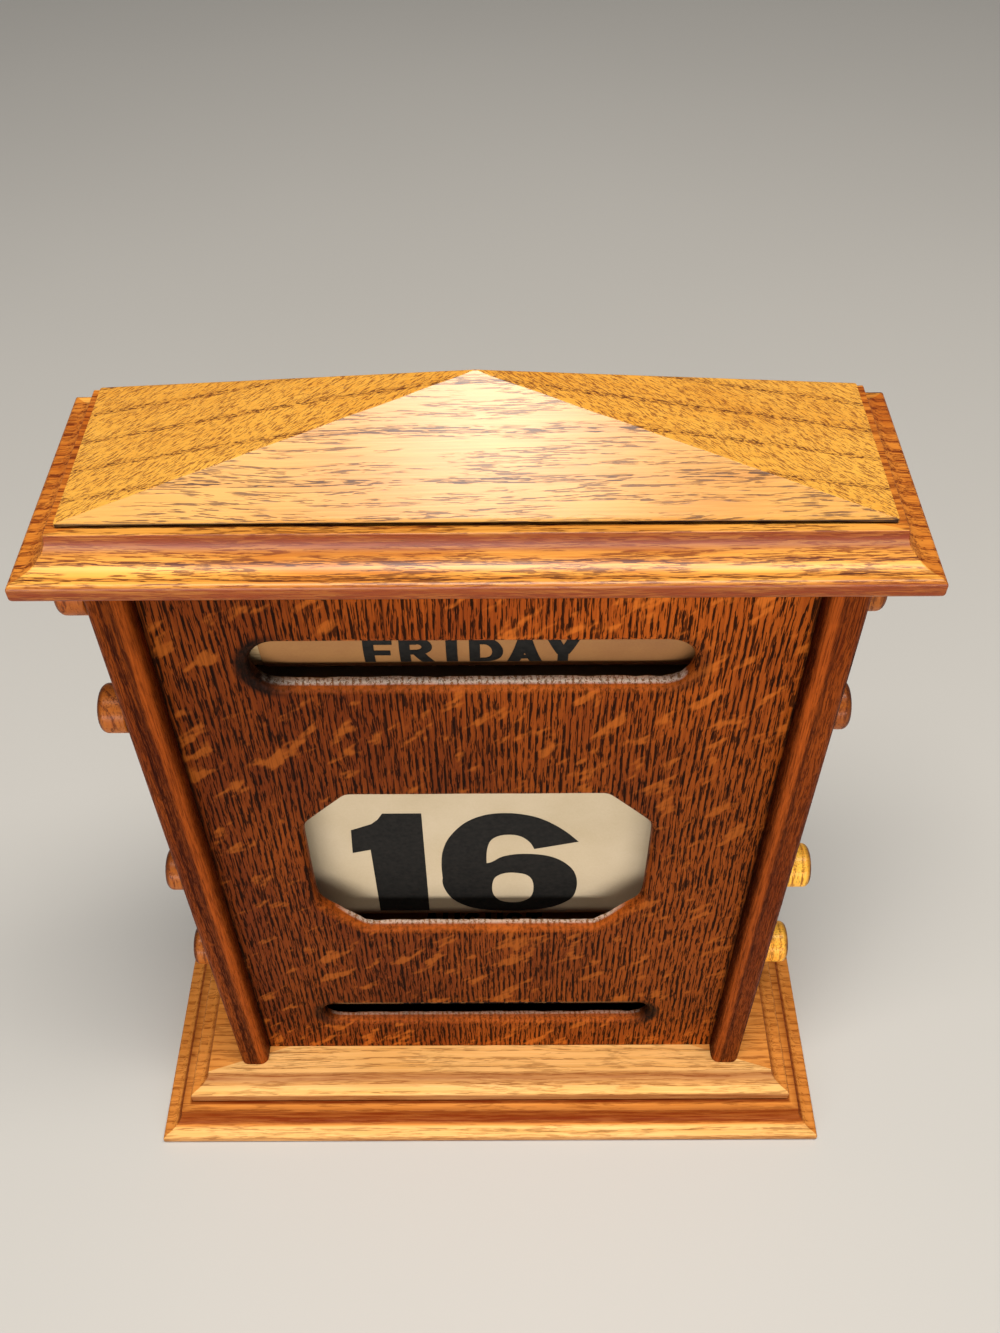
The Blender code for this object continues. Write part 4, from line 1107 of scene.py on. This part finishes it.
moulded_board("moulded_cap", "cap_board", 110.0, -29.8,
              nose_and_cove(279.0, 13.4, 5.4, 1.6, 0.4, 9.0), 1.0, cap_oak,
              [(0, 0.95), (0.15, 0.9), (0.5, 0.5), (1.0, 0.1), (1.6, 0.0), (5.5, 0.0), (6.4, 0.15),
               (7.0, 0.3), (7.6, 0.5), (8.2, 0.8), (8.6, 1.0), (9.0, 0.9), (9.2, 0.2)], 20.0)
pyramid_roof(roof_oak, hip_oak)
windowed_panel(panel_oak)
for label in ("left", "right"):
    side_board(label, side_oak)

axles = (("day", day_z, day_shift), ("date_upper", date_upper_z, date_upper_shift),
         ("date_lower", date_lower_z, date_lower_shift), ("month", month_z, month_shift))
for label, height, shift in axles:
    knob(label + "_knob_left", -1, height, shift, label + "_roller_set", knob_oak)
    knob(label + "_knob_right", 1, height, shift, label + "_roller_set",
         knob_oak_painted_lit if label in ("date_lower", "month") else knob_oak)

sleeve("weekday_sleeve", "day_name_strip", day_sleeve_radius, 4.0, day_z, "day_roller_set",
       drum_paper)
sleeve("month_sleeve", "month_name_strip", month_sleeve_radius, 0.62, month_z,
       "month_roller_set", drum_paper)
weekdays = ("SUNDAY", "MONDAY", "TUESDAY", "WEDNESDAY", "THURSDAY", "FRIDAY", "SATURDAY")
months = ("JANUARY", "FEBRUARY", "MARCH", "APRIL", "MAY", "JUNE", "JULY", "AUGUST", "SEPTEMBER",
          "OCTOBER", "NOVEMBER", "DECEMBER")
drum_names("weekday_names", weekdays, 5, day_sleeve_radius, day_z, 11.4, -9.2,
           "day_roller_set", ink)
drum_names("month_names", months, 10, month_sleeve_radius, month_z, 8.0, -8.94,
           "month_roller_set", ink)
date_scroll(paper)
date_numerals(ink)
for label, shift, height in (("upper", date_upper_shift, date_upper_z),
                             ("lower", date_lower_shift, date_lower_z)):
    winding(label + "_winding", f"date_{label}_scroll_roll", shift, height,
            f"date_{label}_roller_set", paper)

wood_screws("back_screws_slotted", [f"back_screw_{n}" for n in range(1, 7)],
            [(x, 44.5, z) for x in (-88.2, 88.2) for z in (43.0, 150.85, 258.7)],
            ((1, 0, 0), (0, 0, -1), (0, 1, 0)), 12.0, "brass", brass)
wood_screws("base_screws_slotted", [f"base_screw_{n}" for n in range(1, 5)],
            [(x, y, 0.3) for x in (-90.8, 90.8) for y in (-10.3, 30.5)],
            ((1, 0, 0), (0, -1, 0), (0, 0, -1)), 38.0, "steel", steel)

dress(["back_panel"], back_oak)
dress([f"{label}_axle" for label, _, _ in axles]
      + ["day_drum", "month_drum", "date_upper_roller", "date_lower_roller"], dowel_wood)
dress([f"cap_screw_{n}" for n in range(1, 5)] + ["roof_screw_1", "roof_screw_2"], steel)
